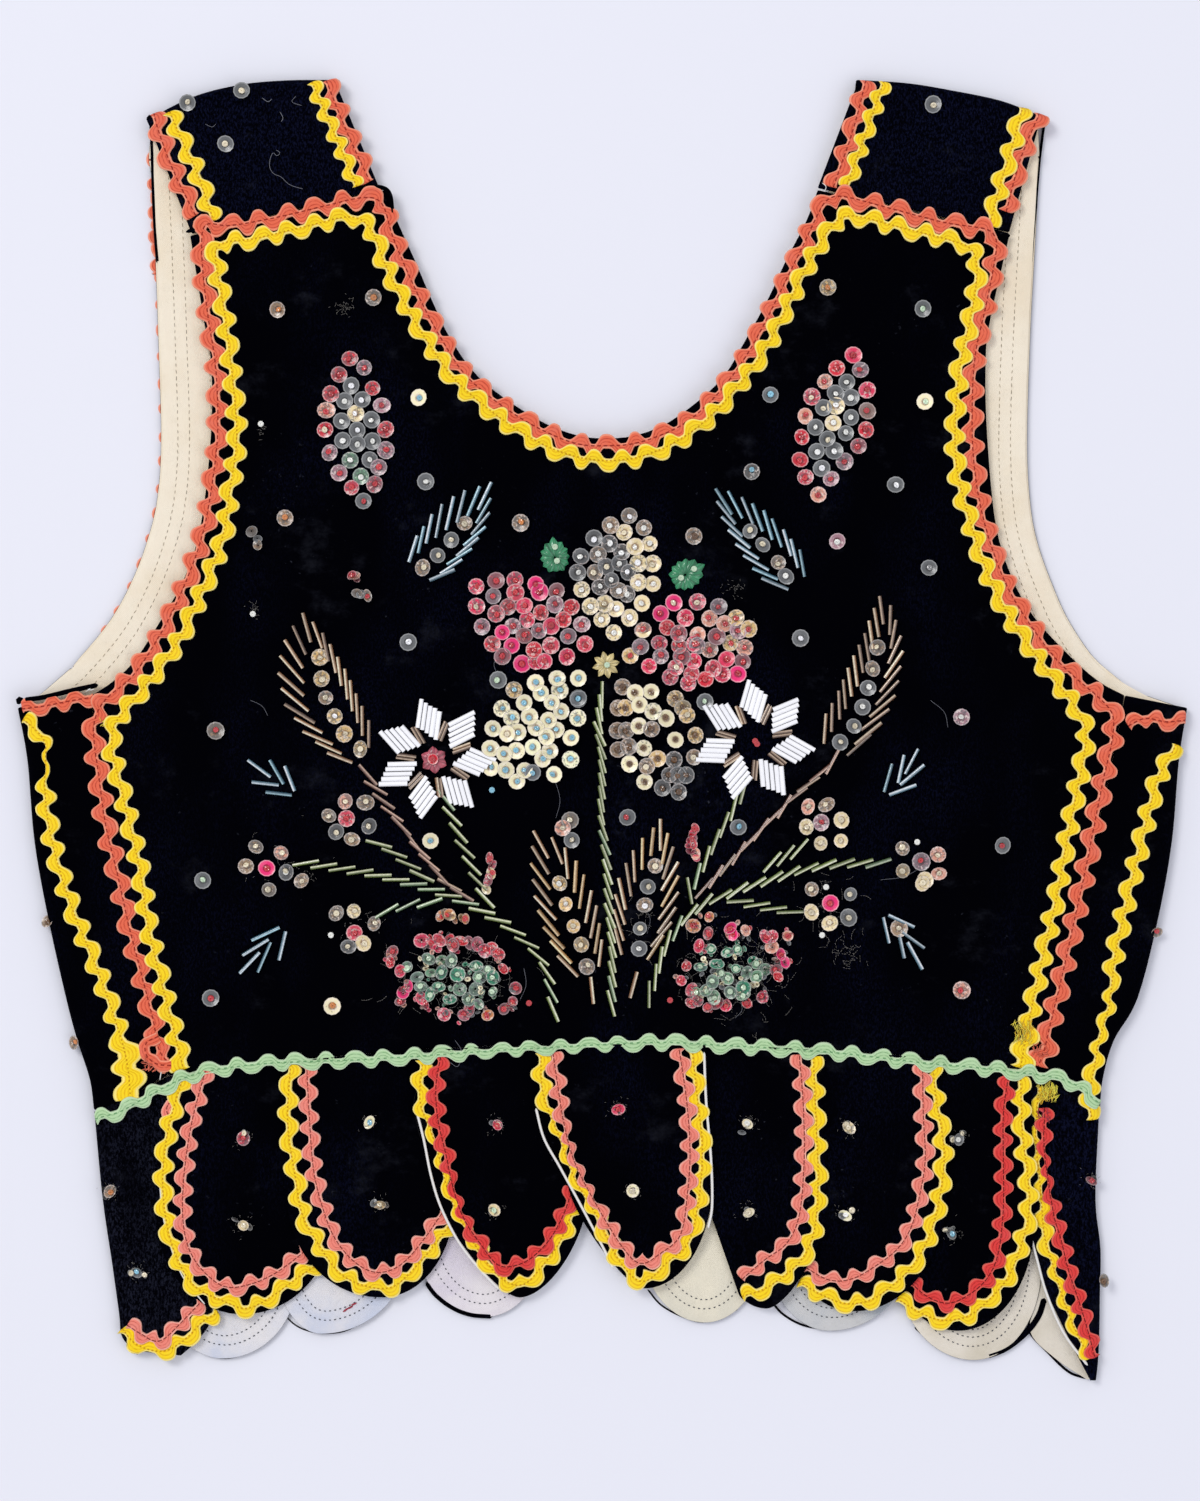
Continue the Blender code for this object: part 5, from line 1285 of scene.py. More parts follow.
def sewTubes(name, inner, outer, kinds, spread=0.14, lift=0.0):
    # each tube bead runs from its inner to its outer pixel and lies on the velvet; its tint is the glass,
    # with painted shade down its sides and a painted highlight, a streak of light high on one side
    inner, outer = spots(inner), spots(outer)
    way, middle, n = outer - inner, (inner + outer) / 2, len(inner)
    white = np.array(kinds) == "white"
    thick = np.where(white, tubeSizes["white"], tubeSizes["radius"]) * uniform(0.9, 1.12, n)
    z = topOfVest(*middle.T) + thick + 0.1 + lift + uniform(0, 0.2, n)
    rotations = turnings(upright, np.arctan2(way[:, 1], way[:, 0])) @ turnings((0, 1, 0), normal(0, 0.03, n))
    places, quads = tubeTemplate(tubeSizes["bore"] / tubeSizes["radius"])
    sizes = np.stack([np.linalg.norm(way, axis=1), thick, thick], axis=-1)
    points, faces = copied(places, sizes, rotations, raisedTo(middle, z), quads)
    piece = makePiece("tubes_" + name, points, faces, chalkGlass if kinds[0] == "white" else tubeGlass)
    piece.data.set_sharp_from_angle(angle=math.radians(50))
    light, dark = (np.array([tone(*tubeTones[kind][k]) for kind in kinds])[:, None] for k in (0, 1))
    # painted highlight: a narrow streak high on one side; painted shade darkens the sides
    streak = np.clip(0.86 * places[:, 2] + 0.5 * places[:, 1], 0, 1)[None, :, None] ** 8
    high = 0.9 * places[None, :, None, 2]
    shade = np.where(white[:, None, None], np.clip(0.5 + high, 0.42, 1), np.clip(0.45 + high, 0.3, 1))
    tints = dark * shade + (light - dark * shade) * streak
    tints[..., 3] = 1.0
    tints[..., :3] = np.clip(tints[..., :3] * (1 + uniform(-spread, spread, (n, 1, 1)) * 2), 0, 1)
    addLayer(piece, "tint", tints, "color")
    keep(piece)


# each side of an ear: how many tubes, then the curve their heads lie on and the one their feet lie on
ears = dict(
    blue_left=dict(
        left=(8, (493, 484), (450, 499), (417, 537), (478, 509), (441, 534), (409, 562)),
        right=(7, (491, 499), (482, 533), (454, 570), (476, 524), (461, 550), (430, 581)), kinds=("blue", "teal"),
        sequins=[(465, 524), (452, 540), (438, 556), (423, 568)]),
    blue_right=dict(
        left=(7, (716, 502), (732, 540), (762, 579), (736, 523), (756, 556), (788, 590)),
        right=(9, (716, 488), (758, 507), (800, 550), (732, 513), (770, 537), (805, 576)), kinds=("blue", "teal"),
        sequins=[(750, 531), (762, 545), (778, 563), (786, 576)]),
    bronze_left=dict(
        left=(11, (302, 612), (280, 684), (327, 754), (311, 641), (307, 705), (353, 763)),
        right=(9, (314, 621), (341, 662), (368, 720), (324, 649), (344, 692), (369, 748)),
        kinds=("bronze", "darkBronze"), cup="gold",
        sequins=[(320, 658), (322, 679), (326, 698), (335, 716), (345, 734), (361, 749)]),
    bronze_right=dict(
        left=(11, (879, 596), (852, 660), (826, 714), (883, 624), (855, 690), (825, 743)),
        right=(10, (892, 606), (901, 676), (870, 734), (889, 635), (881, 690), (847, 755)),
        kinds=("bronze", "darkBronze"),
        sequins=[(877, 647), (872, 669), (868, 688), (862, 707), (854, 726), (840, 742)]),
    low_left=dict(
        left=(9, (533, 830), (535, 898), (558, 955), (549, 858), (554, 918), (579, 976)),
        right=(8, (552, 837), (585, 876), (602, 938), (562, 864), (580, 906), (599, 968)), kinds=("bronze", "gold"),
        cup="gold", sequins=[(560, 883), (566, 904), (573, 926), (581, 944), (587, 966)]),
    low_right=dict(
        left=(8, (655, 827), (623, 868), (614, 925), (650, 857), (630, 898), (622, 954)),
        right=(9, (661, 819), (680, 878), (663, 935), (660, 850), (661, 906), (647, 960)), kinds=("bronze", "gold"),
        sequins=[(655, 866), (648, 886), (645, 905), (640, 928), (639, 948)]))
earCentres, earCups, earBeads = [], [], []
for name, ear in ears.items():
    heads, feet = [], []
    for count, *curves in (ear["left"], ear["right"]):
        heads.append(arcOfThree(*curves[:3], count) + normal(0, 0.7, (count, 2)))
        feet.append(arcOfThree(*curves[3:], count) + normal(0, 0.7, (count, 2)))
    heads, feet = np.vstack(heads), np.vstack(feet)
    kinds = varied([ear["kinds"][0]] * len(heads), ear["kinds"][1], 0.35)
    sewTubes("ear_" + name, feet, heads, kinds, spread=0.2)
    earCentres += ear["sequins"]
    earCups += varied([ear.get("cup", "clear")] * len(ear["sequins"]), "brown", 0.35)
    earBeads += varied(["cream"] * len(ear["sequins"]), "white", 0.4)
sewSequins("ears", spots(earCentres), earCups, earBeads, lean=20, crushed=0.24)

flowers = dict(  # the tubes side by side in each petal, and the pairs of veins between the petals
    left=dict(centre=(435, 759), start=-99), right=dict(centre=(754, 741), start=-91), round=7,
    petals=dict(radius=40.0, count=5, spacing=4.9, tube=28.0, turn=19.0, shear=0.48),
    veins=dict(radius=29.0, count=2, spacing=3.2, tube=19.0, turn=4.0, shear=0.3),
)


def fannedTubes(name, middle, start, look, kinds):
    # parallel tubes side by side in every petal, each a step nearer the heart than the one before it
    petals, count = flowers["round"], look["count"]
    petal = np.radians(start + np.arange(petals) * 360 / petals)[:, None]
    offset = ((np.arange(count) - (count - 1) / 2) * look["spacing"])[None, :, None]
    way = pointing(petal + math.radians(look["turn"]) + normal(0, 0.04, petal.shape))
    square = np.stack([-way[..., 1], way[..., 0]], axis=-1)
    centre = middle + pointing(petal) * look["radius"] + (square - way * look["shear"]) * offset
    half = way * look["tube"] / 2 * uniform(0.96, 1.04, (petals, count, 1))
    kinds = varied([kinds[0]] * petals * count, kinds[1], 0.15)
    sewTubes(name, (centre - half).reshape(-1, 2), (centre + half).reshape(-1, 2), kinds, 0.02)


for side in signs:
    flower = flowers[side]
    fannedTubes("flower_" + side, flower["centre"], flower["start"], flowers["petals"], ("white", "white"))
    fannedTubes("flower_veins_" + side, flower["centre"], flower["start"] + 180 / flowers["round"], flowers["veins"],
                ("darkBronze", "bronze"))

stems = [  # pixels of the path from its flower to the bunch, colour, spacing of the slanting tubes, their turn
    ([(602, 695), (599, 725), (602, 765), (601, 812)], "green", 13.5, -14),
    ([(603, 828), (607, 868), (609, 908), (612, 950), (612, 985), (611, 1003)], "green", 15.0, -15),
    ([(446, 800), (462, 842), (485, 898)], "green", 17.6, -22),
    ([(306, 863), (376, 875), (442, 893), (493, 917), (527, 943), (547, 973), (553, 1009)], "green", 18.2, -17),
    ([(379, 844), (397, 855), (422, 876)], "green", 17.5, -14),
    ([(387, 911), (410, 905), (430, 903)], "green", 21.0, -13),
    ([(743, 791), (725, 823), (697, 876)], "green", 19.0, -14),
    (
        [(878, 863), (825, 865), (771, 879), (717, 898), (692, 912), (667, 943), (655, 978), (649, 994)], "green",
        18.2, -16),
    ([(799, 849), (772, 862)], "green", 14.5, -23), ([(790, 912), (740, 901)], "green", 17.0, -18),
    ([(368, 775), (388, 808), (412, 840), (442, 878), (462, 894)], "rust", 16.0, -10),
    ([(832, 762), (804, 788), (772, 818), (732, 860), (704, 888)], "rust", 16.0, -8),
    ([(591, 976), (593, 1004)], "bronze", 28.0, 0), ([(637, 970), (630, 999)], "bronze", 28.0, 0),
    ([(688, 879), (691, 902)], "green", 24.0, 0)]
stemTube = 27.0
inner, outer, kinds = [], [], []
for path, kind, spacing, turned in stems:
    line = curved(path, 10)
    count = max(1, round(walked(line)[-1] / spacing) + (turned != 0))
    middle = evenly(line, count) if count > 1 else line[[len(line) // 2]]
    ahead = np.gradient(middle, axis=0) if count > 1 else (line[-1] - line[0])[None]
    unruly = 0.15 if kind == "rust" else 0.05
    angle = np.arctan2(ahead[:, 1], ahead[:, 0]) + math.radians(turned) + normal(0, unruly, count)
    half = pointing(angle) * stemTube / 2
    inner.append(middle - half)
    outer.append(middle + half)
    kinds += varied([kind] * count, "mint" if kind == "green" else "darkBronze", 0.25)
sewTubes("stems", np.vstack(inner), np.vstack(outer), kinds, lift=0.1)

# inner and outer pixel of each tube
sprigs = [(271, 777, 248, 760), (284, 784, 270, 760), (295, 791, 285, 766), (279, 785, 252, 782),
    (292, 795, 266, 792), (884, 792, 892, 764), (898, 783, 904, 755), (900, 785, 924, 765), (905, 774, 918, 749),
    (889, 795, 916, 785), (280, 927, 252, 940), (269, 939, 243, 955), (271, 942, 258, 972), (260, 952, 240, 973),
    (286, 931, 279, 960), (883, 917, 889, 943), (888, 915, 914, 927), (899, 935, 904, 958), (902, 932, 924, 948),
    (907, 942, 922, 969)]
sprigs = np.array(sprigs, float)
sewTubes("sprigs", sprigs[:, :2], sprigs[:, 2:], varied(["blue"] * len(sprigs), "teal", 0.3))


def cutSpangle(name, middle, outline, size, kind, tip, beads=()):
    # a flat spangle: its outline is given as reach at even steps round the middle, tips and notches in turn
    segments = 4 * len(outline)
    way = circle(segments, math.radians(tip))[:, None]
    radius = size * np.interp(np.arange(segments) / 4, np.arange(len(outline) + 1), [*outline, outline[0]])
    rings, heights, shine = np.array([
        (0.08, 0.42, 0.6), (0.5, 0.36, 0.8), (1.0, 0.52, 1.25), (1.0, 0.38, 1.25), (0.08, 0.3, 0.6)]).T
    places = spots(middle) + (radius[:, None] * rings)[..., None] * way
    facets = 0.3 * rings * (np.arange(segments) % 8 < 4)[:, None]
    places = raisedTo(places, topOfVest(places[..., 0], places[..., 1]) + heights + facets)
    piece = makePiece(name, places.reshape(-1, 3), [crossQuads(segments, len(rings))], cupSheen)
    shade = 0.45 + 0.85 * chance.random((segments, 1, 1)) * shine[None, :, None]
    addLayer(piece, "tint", raisedTo(np.array(tone(*cupTones[kind][0])[:3]) * shade, cupTones[kind][1]), "color")
    addLayer(piece, "cup", np.tile(np.column_stack([0.45 + 0.35 * rings, heights, 0 * rings]), (segments, 1)))
    keep(piece)
    if beads:
        looseBeads(name + "_beads", spots(beads), 1.05, ["paleGreen"] * len(beads))


# reach of the tips and notches, from the tip round anticlockwise
leafSide = [0.96, 1.06, 0.84, 0.95, 0.77, 0.9, 0.74, 0.9, 0.78, 0.96, 0.8]
leafOutline = [1.3, *leafSide, 0.84, *leafSide[::-1]]
cutSpangle("spangle_leaf_left", (555, 558), leafOutline, 5.9, "leaf", 96, [(555, 547), (557, 561)])
cutSpangle("spangle_leaf_right", (685, 575), leafOutline, 6.2, "leaf", 28, [(694, 569), (681, 578)])
cutSpangle("spangle_star", (606, 665), [1.0, 0.62] * 8, 5.0, "star", 12, [(607, 665)])
cutSpangle("spangle_heart_left", (434, 760), [1.0, 0.74] * 6, 4.9, "wine", 96)
sewSequins("flower_heart_left", spots([(433, 759)]), ["crimson"], ["red"], lean=4, size=0.64, lift=0.5)
print("sequins and tube beads sewn")


threadTones = dict(
    ecru=(178, 164, 138), dark=(70, 74, 84), white=(242, 240, 234), black=(8, 8, 12), red=(190, 60, 80),
    yellow=(255, 236, 84), amber=(255, 206, 50), coral=(240, 122, 92), lint=(128, 130, 138), hair=(150, 146, 138))


def sewStitches(name, rows, tint, top, stitch, gap, width):
    # a short spindle of thread for every stitch of each row, a little skewed from the row
    middles, headings = [], []
    for row in rows:
        count = max(1, int(walked(row)[-1] / (stitch + gap)))
        line = evenly(row, 2 * count + 1)
        way = line[2::2] - line[:-2:2]
        middles.append(line[1::2])
        headings.append(np.arctan2(way[:, 1], way[:, 0]))
    middles, headings = np.vstack(middles), np.concatenate(headings)
    n = len(middles)
    spindle = [(-0.5, 0.45, -0.7), (-0.22, 1.0, 0.0), (0.22, 1.0, 0.0), (0.5, 0.45, -0.7)]
    along, girth, sag = np.repeat(spindle, 3, axis=0).T
    around = np.radians(np.tile([90, 210, 330], 4))
    places = np.stack([along, np.cos(around) * girth, np.sin(around) * girth + sag], axis=-1)
    sizes = np.full((n, 3), width / 2)
    sizes[:, 0] = stitch * uniform(0.85, 1.1, n)
    turned = turnings(upright, headings + normal(0, 0.09, n))
    base = raisedTo(middles, top(*middles.T) + width * 0.32)
    caps = np.array([[2, 1, 0], [9, 10, 11]])
    piece = makePiece(name, *copied(places, sizes, turned, base, gridQuads(4, 3, ring=True), caps), thread)
    tints = np.tile(tone(*threadTones[tint]), (n, 1))
    tints[:, :3] *= uniform(0.75, 1.15, (n, 1))
    addLayer(piece, "tint", np.repeat(np.clip(tints, 0, 1), 12, axis=0), "color")
    keep(piece)


def layThreads(name, cords, finish=None, flat=1.0, sides=6):
    # each cord follows its route: its ring is round, or flattened by flat, and rests on the cord's heights
    places, quads, caps, tints, first = [], [], [], [], 0
    wide, high = circle(sides).T
    for route, thickness, tint, heights in cords:
        steps, ring = np.arange(len(route)), np.arange(sides)
        reach = thickness / 2 * np.minimum(1.0, 0.35 + 0.9 * np.minimum(steps, steps[::-1]))[:, None]
        flatPlaces = route[:, None] + leftOf(route)[:, None] * (wide * reach)[..., None]
        z = (heights + thickness * flat / 2)[:, None] + high * flat * reach
        places.append(raisedTo(flatPlaces, z).reshape(-1, 3))
        quads.append(gridQuads(len(route), sides, ring=True) + first)
        caps.append(np.stack([ring, ring + (len(route) - 1) * sides]) + first)
        tints.append(np.tile(tone(*threadTones[tint]), (len(places[-1]), 1)))
        first += len(places[-1])
    piece = makePiece(name, np.vstack(places), [np.vstack(quads), np.vstack(caps)], finish or thread)
    addLayer(piece, "tint", np.vstack(tints), "color")
    keep(piece)


def layThread(name, route, thickness, tint, heights, **how):
    layThreads(name, [(route, thickness, tint, heights)], **how)


def floorTop(x, y):
    return np.zeros(np.shape(x)) + 0.02


def underTabTop(x, y):  # the second and the last of them lie a little higher
    lifted = (np.abs(x + 95) < 26) | (x > 107)
    return cloth["underTab"] + 0.35 * lifted


def smoothly(pixels, spacing=0.8):
    line = curved(spots(pixels), 10)
    return evenly(line, max(4, int(walked(line)[-1] / spacing)))


# rows of stitches round each armhole's lining strip
for side, sign in signs.items():
    rows = []
    for inset in facing["seams"]:
        row = shifted(facingEdge(side), -sign * inset)
        rows.append(row[(row[:, 1] > facing["tips"][side][1] + inset * 0.55)])
    sewStitches("stitches_armhole_" + side, rows, "ecru", facingTop, stitch=1.5, gap=0.9, width=0.3)

# curved rows on the linings of the tabs that lie lining side up
underInsets = (4.2, 7.6, 10.4)
rows = []
for name, tab in underTabs.items():
    waist, left, right, tip = tabEdges(tab)
    whole = softened(evenly(np.vstack([left[-14:], tip[1:-1], right[::-1][:14]]), 90), 4)
    for inset in underInsets[:3 if name == "under_tab_6" else 2]:
        row = softened(shifted(whole, -inset if whole[0, 0] < whole[-1, 0] else inset), 6)
        rows.append(row[row[:, 1] < tab["low"] + 6])
sewStitches("stitches_under_tabs", rows, "dark", underTabTop, stitch=0.85, gap=1.0, width=0.46)
mend = [spots([(341, 1315), (349, 1308), (358, 1303)]), spots([(343, 1312), (356, 1306)])]
sewStitches("stitches_under_tab_2_mended", mend, "red", underTabTop, stitch=2.4, gap=0.3, width=0.8)

# lining that shows as a pale line where a tab's edge rolls over, with the velvet's thickness outside it
rolledEdges = dict(
    tab_2=[(160, 1185), (163, 1215), (172, 1250), (184, 1278), (205, 1304)],
    tab_4=[(417, 1112), (424, 1140), (431, 1175), (441, 1207), (459, 1242), (480, 1269), (499, 1289)],
    tab_5_left=[(536, 1108), (544, 1138), (560, 1167), (577, 1198), (593, 1228), (606, 1253), (613, 1268)],
    tab_5_right=[(704, 1052), (706, 1100), (711, 1160), (712, 1205), (708, 1228)],
    tab_9=[(1029, 1216), (1030, 1231), (1038, 1262), (1047, 1294), (1064, 1333), (1088, 1366)])
for name, pixels in rolledEdges.items():
    tab = "_".join(name.split("_")[:2])
    line = smoothly(pixels)
    top = foldedTabTop(tab) if tab in foldedTabs else tabTop(tab)
    layThread("lining_edge_" + name, line, 0.95 if tab != "tab_2" else 0.5, "white", top(*line.T) + 0.05, flat=0.6)

# the front's velvet shows as a dark rim outside the lining strips, and its braid peeps out under it
frontRims = dict(
    left=[(150, 119), (151, 140), (152, 175), (153, 205), (155, 240), (157, 262)],
    right=[(1046, 120), (1041, 160), (1037, 210), (1033, 262)])
for side, pixels in frontRims.items():
    line = smoothly(pixels)
    layThread("velvet_rim_front_" + side, line, 1.7 if side == "left" else 1.0, "black", floorTop(*line.T) + 0.3,
              finish=velvet, flat=1.7, sides=10)
armhole = shifted(edgeOf(frontArmholes, "left"), 3.3)
armhole = evenly(armhole[armhole[:, 1] > 30], 200)
top = spots([(155, 136), (156, 160), (157, 200), (158, 240), (161, 280)])
makeBraid("ricrac_front_left_coral", softened(evenly(np.vstack([top, armhole[::-1][4:]]), 220), 6),
          braidSizes["frontCoral"], "coral", floorTop)

# loose threads, lint and hairs on the velvet
looseThreads = [  # pixels, thickness, tone
    (
        [(276, 150), (280, 153), (277, 156), (273, 153), (270, 160), (270, 168), (274, 174), (281, 177), (290, 185),
            (303, 189)],
        0.16, "lint"),
    ([(262, 98), (268, 102), (272, 99)], 0.22, "lint"), ([(280, 112), (283, 118), (281, 122)], 0.22, "lint"),
    ([(205, 124), (212, 127), (216, 124)], 0.14, "lint"), ([(296, 96), (292, 102), (302, 106)], 0.14, "lint"),
    ([(520, 1000), (526, 985), (524, 968)], 0.14, "lint"), ([(555, 780), (560, 800), (556, 818)], 0.12, "lint"),
    ([(250, 700), (262, 706), (268, 716)], 0.12, "lint"), ([(930, 700), (944, 712), (948, 728)], 0.12, "lint"),
    ([(880, 880), (905, 876), (930, 862)], 0.12, "lint"), ([(398, 880), (410, 884), (428, 883)], 0.12, "lint"),
    ([(642, 905), (650, 918), (647, 934)], 0.12, "lint"),
    ([(455, 1040), (462, 1052), (458, 1066), (450, 1062)], 0.14, "lint"),
    ([(735, 1018), (742, 1010), (740, 1000)], 0.14, "lint"), ([(500, 655), (494, 664), (498, 676)], 0.14, "lint"),
    ([(420, 1085), (414, 1100), (416, 1120), (420, 1138)], 0.2, "black"),
    ([(160, 1056), (162, 1066), (160, 1080)], 0.4, "white"), ([(158, 1062), (166, 1068)], 0.3, "white"),
    ([(84, 686), (90, 690), (95, 689)], 0.4, "white"), ([(86, 692), (92, 687)], 0.3, "white"),
    ([(822, 183), (826, 187), (824, 192)], 0.3, "white")]
cords = []
for k, (pixels, thick, tint) in enumerate(looseThreads):
    line = smoothly(pixels, 0.5)
    wave = 0.25 * (1 + np.sin(np.arange(len(line)) * 0.35 + k))
    cords.append((line, thick, tint, topOfVest(*line.T) + 0.06 + wave))
layThreads("threads_loose", cords, sides=5)

# fine hairs of worn thread over the crushed sequins
hairs = dict(  # of each tuft: middle pixel, half width, half height, how many, length in pixels
    ovals=[((452, 977), 60, 32, 170, 13), ((736, 968), 54, 42, 190, 14)],
    flowers=[((735, 640), 22, 40, 30, 9), ((292, 868), 40, 34, 26, 9), ((355, 930), 26, 26, 24, 8),
        ((828, 910), 34, 34, 40, 14), ((640, 925), 16, 34, 30, 10)],
    bare=[((346, 306), 9, 9, 42, 5), ((262, 430), 4, 8, 18, 5), ((253, 608), 5, 7, 22, 5), ((735, 590), 8, 8, 30, 5),
        ((846, 954), 16, 12, 36, 9)],
    tabs=[((x, y), 9, 9, 34, 4) for x, y, *_ in tabSequins[:17]])
for name, tufts in hairs.items():
    rows = []
    for middle, wide, high, count, length in tufts:
        start = spots(np.array(middle) + normal(0, 0.5, (count, 2)) * (wide, high))
        heading = uniform(0, 2 * math.pi, count)
        turn = heading[:, None] + normal(0, 0.5, (count, 1)) * np.linspace(-1, 1, 5)
        size = uniform(0.5, 1.2, (count, 1, 1)) * length * pixel
        rows += list(start[:, None] + np.cumsum(pointing(turn) * size / 5, axis=1))
    sewStitches("hairs_" + name, rows, "hair", lambda x, y: topOfVest(x, y) + 0.9, stitch=0.8, gap=0.0, width=0.11)

# frayed braid: a bundle of fine threads lying mostly one way
frays = dict(  # middle pixel, half width, half height, heading in degrees, spread, threads, length in pixels, tone
    waist_left=((150, 1064), 8, 8, 60, 40, 26, 7, "coral"),
    waist_right=((1024, 1030), 9, 8, 100, 30, 26, 10, "amber"),
    waist_right_pale=((1022, 1032), 9, 10, 95, 30, 40, 9, "yellow"),
    waist_right_coral=((1040, 1052), 7, 8, 70, 60, 22, 7, "coral"),
    tab_9=((1048, 1090), 9, 9, 80, 28, 70, 11, "yellow"), tab_9_amber=((1047, 1094), 7, 8, 80, 24, 16, 9, "amber"),
    tab_9_red=((1044, 1116), 6, 6, 90, 40, 24, 6, "red"), underarm=((104, 722), 4, 4, 50, 60, 10, 5, "yellow"),
    side_end=((1093, 1114), 4, 5, 100, 30, 10, 6, "yellow"))
for name, (middle, wide, high, heading, spread, count, length, tint) in frays.items():
    start = spots(np.array(middle) + uniform(-1, 1, (count, 2)) * (wide, high))
    half = pointing(np.radians(heading + normal(0, spread, count)))
    half *= uniform(0.5, 1.1, (count, 1)) * length * pixel / 2
    sewStitches("frayed_" + name, np.stack([start - half, start + half], axis=1), tint,
                lambda x, y: topOfVest(x, y) + 0.9 + 0.5 * np.sin(x * 3.1 + y * 2.3) ** 2,
                stitch=length * 0.3, gap=0.1, width=0.34)

# rolled velvet tips at the corners, and dark outlines round the linings of the turned tabs
knobs = dict(
    strap=([(147, 120), (149, 116), (152, 115)], 2.0), underarm=([(17, 704), (19, 700), (23, 699)], 2.4),
    side=([(24, 700), (45, 697), (70, 691), (98, 685)], 1.8), strap_neck=([(360, 186), (387, 190), (393, 215)], 1.6),
    seam_right=([(984, 229), (996, 232), (1010, 236)], 1.6), seam_left=([(186, 232), (196, 229), (206, 226)], 1.4),
    tab_9=([(1090, 1379), (1094, 1377), (1096, 1372)], 2.6),
    under_tab_3=([(426, 1284), (436, 1297), (452, 1309), (470, 1316), (492, 1318)], 2.2),
    under_tab_6=([(1046, 1300), (1040, 1318), (1028, 1334), (1008, 1350), (988, 1358)], 2.4),
    under_tab_6_left=([(916, 1330), (935, 1346), (958, 1358), (988, 1360)], 0.7),
    under_tab_5=([(770, 1300), (783, 1316), (805, 1328), (833, 1332)], 0.8),
    under_tab_4=([(648, 1292), (662, 1308), (685, 1320), (707, 1324), (738, 1312)], 0.6),
    under_tab_2=([(276, 1300), (284, 1318), (300, 1331), (325, 1336), (352, 1330), (384, 1303)], 0.5),
    under_tab_1=([(193, 1349), (206, 1357), (226, 1361), (250, 1352), (280, 1326)], 0.5),
    leaf=([(1040, 1303), (1033, 1318), (1032, 1335), (1048, 1353), (1070, 1374), (1088, 1381)], 0.9))
for name, (pixels, thick) in knobs.items():
    line = smoothly(pixels)
    low = name.startswith(("tab", "under_tab", "leaf"))
    base = floorTop(*line.T) if low else topOfVest(*line.T) - thick * 0.4
    layThread("velvet_rim_" + name, line, thick, "black", base, finish=velvet, sides=10)
print("stitches, edges and loose threads ready")


# width and length of each cut in millimetres, and what it lies on
cuts = dict(velvet_back=dict(flat=(373, 314), on=["velvet_front_left", "velvet_front_right"]))
for part, flat in dict(velvet_side=(150, 75), velvet_strap=(90, 76), velvet_front=(200, 350),
                       lining_armhole=(70, 215)).items():
    for side in signs:
        cuts[f"{part}_{side}"] = dict(flat=flat, on=[] if part == "velvet_front" else ["velvet_front_" + side])
cuts["velvet_tab_1"] = dict(flat=(62, 95), on=["lining_under_tab_1"])
cuts["velvet_tab_9"] = dict(flat=(50, 104), on=["lining_under_tab_6"])
for name, tab in {**tabs, **underTabs}.items():
    width = max(tab["waist"][1], tab["sides"][1]) - min(tab["waist"][0], tab["sides"][0])
    kind = "lining_" if name.startswith("under") else "velvet_"
    below = [] if kind == "lining_" else [f"lining_under_tab_{min(6, max(1, int(name[4]) - 1))}"]
    cuts[kind + name] = dict(flat=(width + 1, waistY(tab["tip"][0]) - tab["tip"][1] + 12), on=below)
sewnOn = dict(  # the beginnings of the names of what is sewn on each sheet
    velvet_back=("ricrac_back", "ricrac_waist", "tubes_", "spangle_", "hairs_ovals", "hairs_flowers", "hairs_bare",
                 *(kind + group for kind in ("sequins_", "beads_") for group in (
                     "petal", "lozenge", "oval", "rosette", "scattered", "ears", "torn", "crushed", "flower"))),
    **{"lining_armhole_" + side: ("stitches_armhole_" + side,) for side in signs},
    **{f"velvet_{part}_{side}": (f"ricrac_{part}_{side}",) for part in ("side", "strap") for side in signs},
    **{f"velvet_tab_{k}": (f"ricrac_tab_{k}_",) for k in range(1, 10)},
)
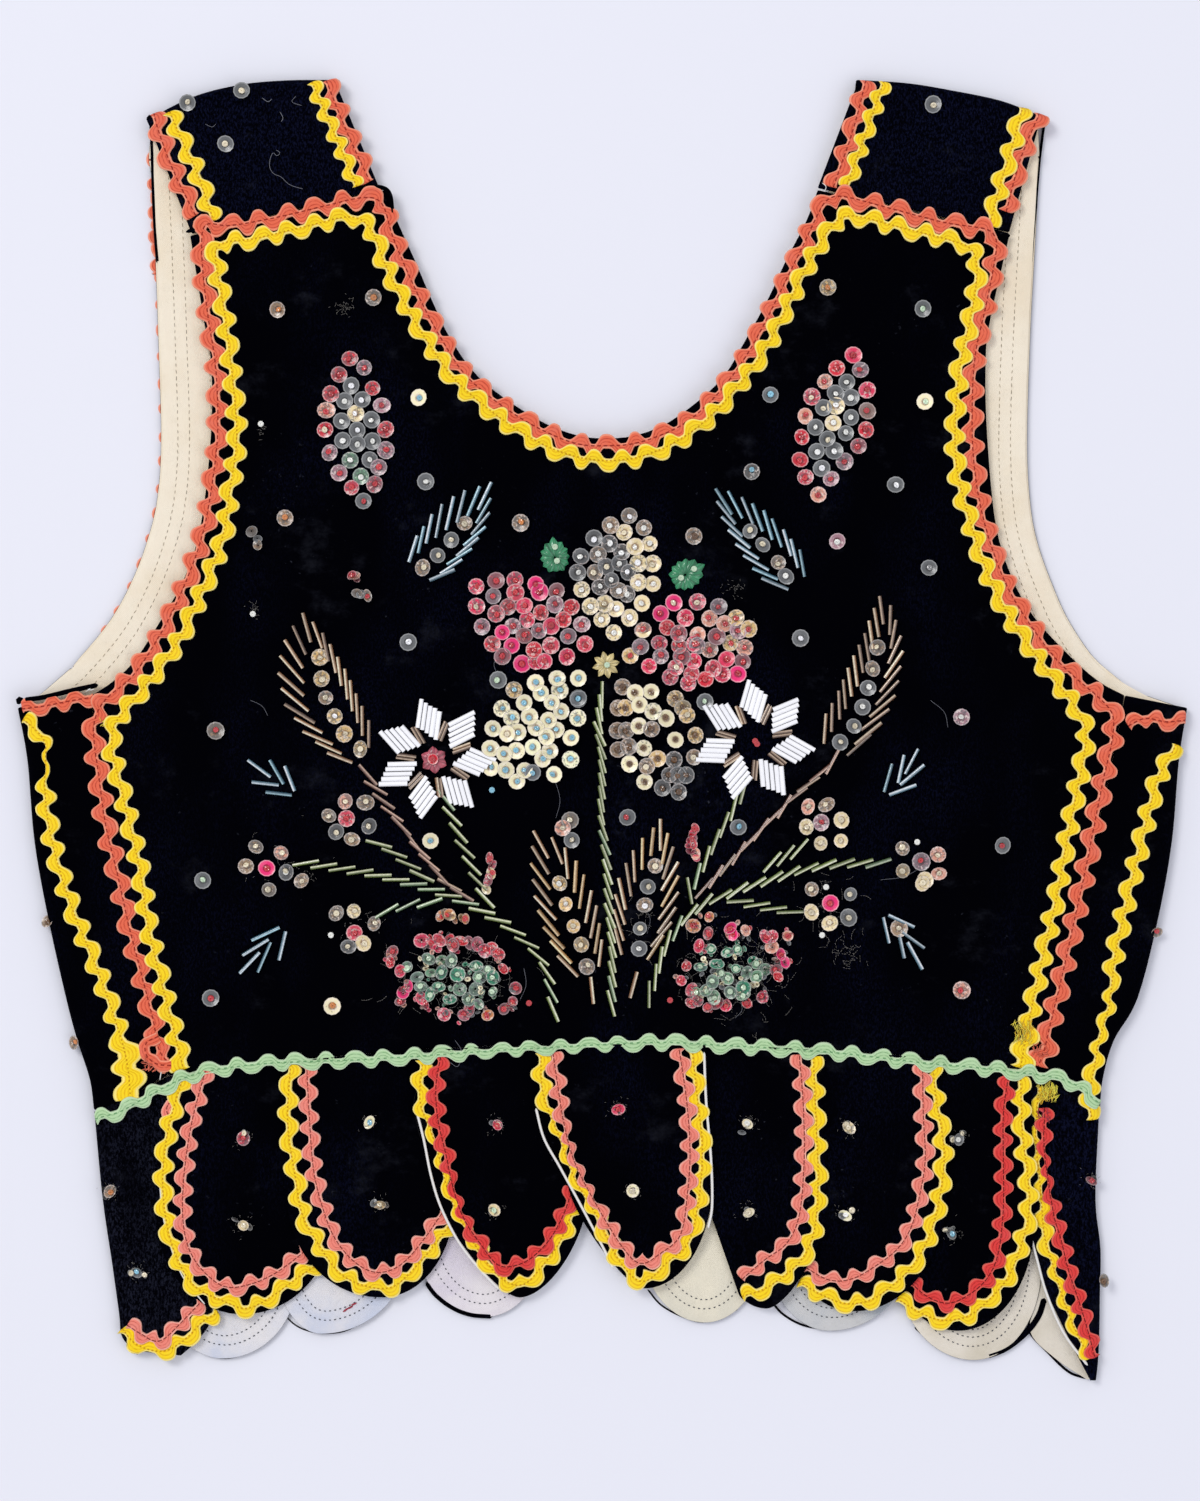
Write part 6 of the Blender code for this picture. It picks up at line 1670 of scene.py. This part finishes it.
for name, cut in cuts.items():
    width, length = cut["flat"]
    sewn = [thing for thing in bpy.data.objects if thing.name.startswith(sewnOn.get(name, ("nothing",)))]


# the surface it lies on, the light and the camera
stage = dict(half=4000.0, colour=tone(231, 232, 238), world=tone(237, 238, 249), worldStrength=0.74)
corners = stage["half"] * np.array([(-1, -1, 0), (1, -1, 0), (1, 1, 0), (-1, 1, 0)])
makePiece("surface", corners, [[(0, 1, 2, 3)]], Shading("surface", stage["colour"], 0.9, 0.1).finish,
                   outward=False)

world = bpy.data.worlds.new("studio")
bpy.context.scene.world = world
world.use_nodes = True
world.node_tree.nodes["Background"].inputs["Color"].default_value = stage["world"]
world.node_tree.nodes["Background"].inputs["Strength"].default_value = stage["worldStrength"]

lamps = dict(  # places and sizes in metres
    key=dict(place=(-1.9, 1.6, 3.3), size=1.5, power=64.0, colour=(1.0, 0.985, 0.97)),
    fill=dict(place=(2.4, -1.6, 3.3), size=3.2, power=34.0, colour=(0.95, 0.96, 1.0)),
)
for name, lamp in lamps.items():
    light = bpy.data.lights.new(name, "AREA")
    light.size, light.energy, light.color = lamp["size"], lamp["power"], lamp["colour"]
    carrier = bpy.data.objects.new(name, light)
    carrier.location = lamp["place"]
    x, y, z = lamp["place"]
    carrier.rotation_euler = (math.atan2(math.hypot(x, y), z), 0.0, math.atan2(-y, -x) - math.pi / 2)
    bpy.context.scene.collection.objects.link(carrier)

view = dict(lens=85.0, sensor=36.0, imageSize=(1200, 1501), height=6.0)
camera = bpy.data.cameras.new("view")
camera.lens, camera.sensor_width = view["lens"], view["sensor"]
camera.clip_start, camera.clip_end = 0.05, 20.0
eye = bpy.data.objects.new("view", camera)
middle = spots([view["imageSize"][0] / 2, view["imageSize"][1] / 2])
away = view["imageSize"][1] * pixel * view["lens"] / view["sensor"]
eye.location = (middle[0] * mm, middle[1] * mm, (view["height"] + away) * mm)
bpy.context.scene.collection.objects.link(eye)
bpy.context.scene.camera = eye
bpy.context.scene.view_settings.view_transform = "Standard"
print("stage ready")
